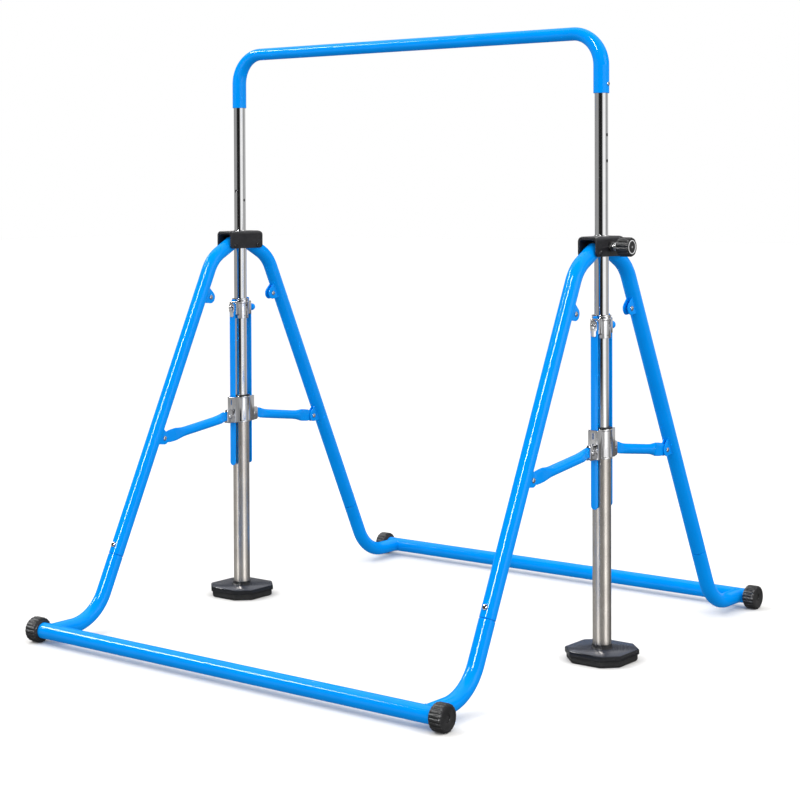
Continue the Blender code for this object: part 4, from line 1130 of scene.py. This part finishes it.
def make_lower_collar(name, side, body):
    """The chrome collar: a band, a slotted plate over each strap with its side rails, and the ears."""
    post = post_axis(side)
    bore = LOWER_R + FIT
    band_r = bore + 0.0027
    groove_r = band_r - 0.0006
    low, high = COLLAR_BOTTOM, COLLAR_TOP
    profile = [
        (low, bore), (low, band_r), (low + 0.004, band_r), (low + 0.0048, groove_r),
        (high - 0.0048, groove_r), (high - 0.004, band_r), (high, band_r), (high, bore),
    ]
    bm = bmesh.new()
    add_turned_ring(bm, post, Z_AXIS, profile, 0.0006, steps=2)

    plate_y = 0.0368
    plate_far = plate_y + 0.0024
    plate = rounded_box(0.0128, low + 0.0008, high - 0.0012, 0.002, 4)
    slot = long_hole(0.5345, 0.5465, 0.0016, 6)
    rail_y, rail_low, rail_high = 0.0203, low + 0.001, high - 0.001
    rail = [(rail_y, rail_low), (plate_far, rail_low), (plate_far, rail_high), (rail_y, rail_high)]
    ear_y, ear_r = 0.056, 0.006
    ear_low, ear_high = COLLAR_PIVOT_Z - 0.0175, COLLAR_PIVOT_Z + 0.0185
    ear = arc(ear_y, ear_high - ear_r, ear_r, 90.0, 0.0, 6)
    ear += arc(ear_y, ear_low + ear_r, ear_r, 0.0, -90.0, 6)
    ear += [(plate_y + 0.0005, ear_low), (plate_y + 0.0005, ear_high)]
    ear_outer_x = EAR_INNER_X + EAR_THICK
    cutters = []
    for end_name, end in ENDS.items():
        for sign in (-1, 1):
            add_plate(bm, turned_outline(end, rail), post, FACING_X, sign * 0.0115, sign * 0.0142)
            inner, outer = sign * EAR_INNER_X, sign * ear_outer_x
            add_plate(bm, turned_outline(end, ear), post, FACING_X, inner, outer, 0.0007)
        add_plate(bm, plate, post, FACING_Y, plate_y * end, plate_far * end)
        cutters.append(plate_cutter(slot, post, FACING_Y, (plate_y - 0.001) * end, (plate_far + 0.003) * end))
        pivot = by_post(side, end * COLLAR_PIVOT_Y, COLLAR_PIVOT_Z)
        cutters.append(drill_across(pivot, 0.012))
        node = end_name + "_" + name
        add_pivot_bolt(node + "_brace_bolt", body, pivot, ear_outer_x + SEAT_GAP, 0.0066,
                       replaces=[node + "_pivot_bolt"])
    for height, offset in ((0.534, 0.0), (0.521, 0.004)):
        place = post + Z_AXIS * height + Y_AXIS * offset + X_AXIS * (bore + 0.0004)
        cutters.append(drill(place, place + X_AXIS * 0.01, 0.003, 28))
    add_piece(name + "_brace_collar", bm, "chrome", body, [name + "_lower_collar"], cutters)

    azimuth = math.radians(25.0)
    outward = Vector((math.sin(azimuth), -math.cos(azimuth), 0.0))
    across = Vector((math.cos(azimuth), math.sin(azimuth), 0.0))
    oval = rounded_box(0.0036, -0.0082, 0.0082, 0.00359, 8)
    centre = post + Z_AXIS * 0.506 + outward * (band_r - 0.0016)
    plug = bmesh.new()
    add_plate(plug, oval, centre, (across, Z_AXIS, outward), 0.0, 0.0021)
    add_piece(name + "_collar_plug", plug, "navy", body)


def octagon(half, corner):
    flat = half - corner
    return [
        (half, -flat), (half, flat), (flat, half), (-flat, half),
        (-half, flat), (-half, -flat), (-flat, -half), (flat, -half),
    ]


def octagon_block(post, layers, rounding):
    """Skin octagons of (height, half width, corner) and round the edges."""
    bm = bmesh.new()
    rings = []
    for height, half, corner in layers:
        rings.append([bm.verts.new(post + Vector((x, y, height))) for x, y in octagon(half, corner)])
    bridge_all(bm, rings)
    edges = [edge for edge in bm.edges if edge.calc_face_angle(0.0) > math.radians(20.0)]
    bevel(bm, edges, rounding, 2)
    return bm


def make_pad(name, side, body):
    """The octagonal foot: a slate plate with a socket for the tube, on a rubber sole."""
    post = post_axis(side)
    plate_low, plate_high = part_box(name + "_pad_plate")
    half = (plate_high.x - plate_low.x) / 2.0
    corner, top, slope = PAD_CORNER, PAD_TOP, 0.0022
    plate = octagon_block(post, [
        (plate_low.z, half - 0.0012, corner), (plate_low.z + 0.0012, half, corner),
        (top - slope - 0.0006, half, corner), (top - slope * 0.5, half - slope * 0.45, corner),
        (top, half - slope, corner)], 0.0005)
    inner = LOWER_R + FIT
    bore = drill(post + Z_AXIS * 0.0203, post + Z_AXIS * 0.06, inner, TUBE_SIDES)
    add_piece(name + "_pad_top", plate, "slate", body, [name + "_pad_plate"], [bore])

    profile = [
        (top - 0.006, inner), (top - 0.006, 0.0262), (top + 0.0002, 0.0272), (top + 0.0016, 0.0266),
        (top + 0.0024, 0.0246), (plate_high.z - 0.0008, 0.0240), (plate_high.z, 0.0236),
        (plate_high.z, inner),
    ]
    band = bmesh.new()
    add_turned_ring(band, post, Z_AXIS, profile, 0.0006)
    add_piece(name + "_pad_socket", band, "plastic", body)

    sole_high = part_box(name + "_pad_sole")[1]
    sole_half = box_size(name + "_pad_sole").x / 2.0
    sole_corner = corner - (half - sole_half) * 0.5
    sole = octagon_block(post, [
        (0.0, sole_half - 0.0035, sole_corner), (0.003, sole_half - 0.0008, sole_corner),
        (0.006, sole_half, sole_corner), (sole_high.z, sole_half, sole_corner)], 0.0006)
    add_piece(name + "_pad_tread", sole, "rubber", body, [name + "_pad_sole"])


# Braces

def make_brace(end_name, end, side_name, side):
    """A round tube that is pressed flat at both ends to fit between the ears."""
    name = end_name + "_" + side_name + "_brace"
    start = by_post(side, end * COLLAR_PIVOT_Y, COLLAR_PIVOT_Z)
    finish = ear_pivot(LOWER_EAR_Z, side, end)
    along = (finish - start).normalized()
    up = X_AXIS.cross(along) * end
    length = (finish - start).length
    # Distance from the pivot, half width along X, half height, rise of the middle and squareness
    flat, tip = BRACE_FLAT_HALF, 0.009
    inner = []
    for share in (0.97, 0.86, 0.6, 0.3):
        inner.append((-tip * share, flat, tip * math.sqrt(1.0 - share * share), 0.0, 5.0))
    inner += [
        (0.0, flat, tip, 0.0, 5.0), (0.006, flat, 0.0092, 0.0003, 5.0), (0.012, flat, 0.0121, 0.0033, 5.0),
        (0.0185, flat, 0.0129, 0.0040, 5.0), (0.026, flat, 0.0138, 0.0028, 5.0),
        (0.033, 0.0066, 0.0134, 0.0014, 3.6), (0.043, 0.0102, 0.0128, 0.0005, 2.5),
        (0.060, BRACE_R, BRACE_R, 0.0, 2.0),
    ]
    outer = [
        (0.085, BRACE_R, BRACE_R, 2.0), (0.072, 0.0110, 0.0131, 2.2), (0.060, 0.0075, 0.0147, 3.2),
        (0.050, flat, 0.0168, 5.0), (0.036, flat, 0.0170, 5.0), (0.022, flat, 0.0164, 5.0),
        (0.010, flat, 0.0135, 5.0), (0.0, flat, 0.0105, 5.0), (-0.005, flat, 0.0088, 5.0),
        (-0.0085, flat, 0.0055, 5.0), (-0.0098, flat, 0.0020, 5.0),
    ]
    sections = inner + [
        (length - place, half_x, half_up, 0.0, squareness) for place, half_x, half_up, squareness in outer]
    bm = bmesh.new()
    rings = []
    for distance, half_x, half_up, rise, squareness in sections:
        centre = start + along * distance + up * rise
        rings.append(add_ring(bm, centre, X_AXIS, up, half_x, half_up, SMALL_SIDES, squareness))
    bridge_all(bm, rings)
    cutters = [drill_across(pivot, 0.02) for pivot in (start, finish)]
    add_piece(name + "_tube", bm, "blue", name, [name], cutters)


# Studio

# Brightness that reflections see round the studio, by azimuth in degrees from the front towards +X
LEVEL_PANELS = [
    (-180, 0.50), (-90, 0.30), (-25, 0.34), (-9, 0.02), (38, 0.008), (50, 0.22), (58, 0.95), (92, 1.05),
    (106, 0.70), (122, 0.25), (136, 0.35), (152, 0.50), (180, 0.50),
]
LOW_PANELS = [
    (-180, 0.12), (-95, 0.40), (-60, 0.46), (-31, 0.50), (-23, 1.75), (-6, 1.75), (3, 0.40), (62, 0.40),
    (72, 1.85), (90, 1.85), (100, 0.60), (118, 0.50), (140, 0.14), (180, 0.12),
]
HIGH_PANELS = [(-180, 0.04), (78, 0.03), (88, 1.8), (112, 1.8), (122, 0.10), (180, 0.04)]
CEILING_PANELS = [(-180, 0.9), (-150, 1.0), (-76, 1.0), (-62, 0.03), (70, 0.03), (110, 0.5), (180, 0.9)]
UPRIGHT_STRIP = [(-180, 0.0), (-5, 0.0), (-1, 1.0), (9, 1.0), (13, 0.0), (180, 0.0)]
LEVEL_STRIP = [(-180, 0.0), (-95, 0.0), (-80, 0.6), (-60, 0.7), (-53, 0.7), (-49, 0.0), (180, 0.0)]
STRIP_GAIN = 50.0
PANEL_GAIN = 2.0
SOFTBOXES = [    # name, place, width, height and power
    ("front_strip", (-1.4, -2.9, 3.9), 0.35, 1.8, 30.0),
    ("right_box", (3.9, -0.9, 2.9), 0.9, 1.6, 45.0),
    ("overhead_strip", (-2.6, -1.3, 4.3), 3.2, 0.35, 36.0),
]
FLOOR_HALF = 30.0


class WorldNodes:
    """Small helpers that build the world's node tree."""

    def __init__(self, world):
        world.use_nodes = True
        self.nodes = world.node_tree.nodes
        self.links = world.node_tree.links
        self.nodes.clear()

    def math(self, operation, first, second):
        node = self.nodes.new("ShaderNodeMath")
        node.operation = operation
        for socket, value in zip(node.inputs, (first, second)):
            if isinstance(value, float):
                socket.default_value = value
            else:
                self.links.new(value, socket)
        return node.outputs["Value"]

    def smooth(self, value, *numbers):
        """Map a value as map_range does, with soft ends."""
        return map_range(self, value, numbers, "SMOOTHSTEP")

    def blend(self, factor, first, second):
        """Mix two brightness values."""
        node = self.nodes.new("ShaderNodeMix")
        self.links.new(factor, node.inputs["Factor"])
        for socket, value in zip(("A", "B"), (first, second)):
            if isinstance(value, float):
                node.inputs[socket].default_value = value
            else:
                self.links.new(value, node.inputs[socket])
        return node.outputs["Result"]

    def panels(self, turn, levels):
        """Brightness from a list of (azimuth, level), looked up by a share of a full turn."""
        ramp = self.nodes.new("ShaderNodeValToRGB")
        self.links.new(turn, ramp.inputs["Fac"])
        stops = ramp.color_ramp.elements
        while len(stops) < len(levels):
            stops.new(0.5)
        for stop, (degrees, level) in zip(stops, levels):
            stop.position = (degrees + 180.0) / 360.0
            stop.color = (level / PANEL_GAIN, level / PANEL_GAIN, level / PANEL_GAIN, 1.0)
        return self.math("MULTIPLY", ramp.outputs["Color"], PANEL_GAIN)

    def window(self, value, rise, full, fade, gone):
        """1 between two values, with soft ends."""
        rising = self.smooth(value, rise, full, 0.0, 1.0)
        return self.math("MULTIPLY", rising, self.smooth(value, fade, gone, 1.0, 0.0))


def make_world():
    """Panels that only reflections see, a soft dome for the rest of the light, and white for the camera."""
    world = bpy.data.worlds.new("studio")
    bpy.context.scene.world = world
    tree = WorldNodes(world)
    direction = tree.nodes.new("ShaderNodeTexCoord").outputs["Generated"]
    parts = tree.nodes.new("ShaderNodeSeparateXYZ")
    tree.links.new(direction, parts.inputs["Vector"])
    height = parts.outputs["Z"]
    towards_front = tree.math("MULTIPLY", parts.outputs["Y"], -1.0)
    azimuth = tree.math("ARCTAN2", parts.outputs["X"], towards_front)
    turn = tree.math("MULTIPLY_ADD", azimuth, 0.5 / math.pi)
    turn.node.inputs[2].default_value = 0.5
    low = tree.smooth(height, -0.105, -0.130, 0.0, 1.0)
    panels = tree.blend(low, tree.panels(turn, LEVEL_PANELS), tree.panels(turn, LOW_PANELS))
    below = tree.smooth(height, -0.26, -0.55, 0.0, 1.0)
    panels = tree.blend(below, panels, 0.10)
    ceiling = tree.smooth(height, 0.40, 0.52, 0.0, 1.0)
    high = tree.blend(ceiling, tree.panels(turn, HIGH_PANELS), tree.panels(turn, CEILING_PANELS))
    panels = tree.blend(tree.smooth(height, 0.08, 0.12, 0.0, 1.0), panels, high)
    upright_rows = tree.window(height, 0.36, 0.42, 0.76, 0.82)
    upright = tree.math("MULTIPLY", tree.panels(turn, UPRIGHT_STRIP), upright_rows)
    level_rows = tree.window(height, 0.56, 0.58, 0.65, 0.67)
    strips = tree.math("ADD", upright, tree.math("MULTIPLY", tree.panels(turn, LEVEL_STRIP), level_rows))
    panels = tree.math("ADD", panels, tree.math("MULTIPLY", strips, STRIP_GAIN))
    dome = tree.smooth(height, -1.0, 1.0, 0.46, 1.44)
    ray = tree.nodes.new("ShaderNodeLightPath")
    light = tree.blend(ray.outputs["Is Glossy Ray"], dome, panels)
    light = tree.blend(ray.outputs["Is Camera Ray"], light, 1.0)
    background = tree.nodes.new("ShaderNodeBackground")
    background.inputs["Color"].default_value = (1.0, 1.0, 1.0, 1.0)
    tree.links.new(light, background.inputs["Strength"])
    output = tree.nodes.new("ShaderNodeOutputWorld")
    tree.links.new(background.outputs["Background"], output.inputs["Surface"])


def add_softbox(name, place, width, height, power):
    """An area light that shines on the bar's middle and isn't seen in reflections."""
    light = bpy.data.lights.new(name, "AREA")
    light.shape = "RECTANGLE"
    light.size = width
    light.size_y = height
    light.energy = power
    item = bpy.data.objects.new(name, light)
    bpy.context.scene.collection.objects.link(item)
    item.location = place
    item.rotation_euler = (Vector((0.0, 0.0, 0.6)) - item.location).to_track_quat("-Z", "Y").to_euler()
    item.visible_glossy = False


def make_studio():
    make_world()
    for softbox in SOFTBOXES:
        add_softbox(*softbox)
    bm = bmesh.new()
    corners = [(-1, -1), (1, -1), (1, 1), (-1, 1)]
    bm.faces.new([bm.verts.new(Vector((x * FLOOR_HALF, y * FLOOR_HALF, 0.0))) for x, y in corners])
    floor = add_mesh_object("studio_floor", bm)
    pale = Finish("pale_floor", None, (0.79, 0.78, 0.765), 0.75)
    pale.set("Specular IOR Level", 0.0)
    pale.vary_colour(pale.noise(2.0), (0.79, 0.78, 0.765), (0.80, 0.79, 0.775))
    floor.data.materials.append(pale.material)
    floor.visible_glossy = False
    floor.visible_diffuse = False


def make_camera():
    sine, cosine = math.sin(CAMERA_YAW), math.cos(CAMERA_YAW)
    level = math.cos(CAMERA_PITCH)
    forward = Vector((-sine * level, cosine * level, -math.sin(CAMERA_PITCH)))
    right = Vector((cosine, sine, 0.0))
    up = right.cross(forward)
    rolled_right = right * math.cos(CAMERA_ROLL) + up * math.sin(CAMERA_ROLL)
    rolled_up = up * math.cos(CAMERA_ROLL) - right * math.sin(CAMERA_ROLL)
    camera = bpy.data.cameras.new("photo_camera")
    camera.lens = CAMERA_LENS
    camera.sensor_width = CAMERA_SENSOR
    camera.shift_y = CAMERA_SHIFT_Y
    item = bpy.data.objects.new("photo_camera", camera)
    bpy.context.scene.collection.objects.link(item)
    turn = Matrix((rolled_right, rolled_up, -forward)).transposed().to_4x4()
    item.matrix_world = Matrix.Translation(CAMERA_PLACE) @ turn
    bpy.context.scene.camera = item


def finish_hidden_nodes():
    """CAD nodes that stay as they are inside the tubes still get a procedural material."""
    for item in frame["nodes"].values():
        if not item.hide_render:
            item.data.materials.clear()
            item.data.materials.append(FINISHES["plastic"].material)


def main():
    bpy.context.scene.view_settings.view_transform = "Standard"
    make_camera()
    make_studio()
    make_bar()
    make_inner_tubes()
    make_mid_posts()
    make_brackets()
    make_straps()
    make_strap_fasteners()
    make_lock()
    for end_name, end in ENDS.items():
        make_frame(end_name, end)
    for side_name, side in SIDES.items():
        body = side_name + "_lower_post"
        make_strap_collar(side_name, side)
        make_lower_tube(side_name, side, body)
        make_lower_collar(side_name, side, body)
        make_pad(side_name, side, body)
        for end_name, end in ENDS.items():
            make_brace(end_name, end, side_name, side)
    finish_hidden_nodes()


main()
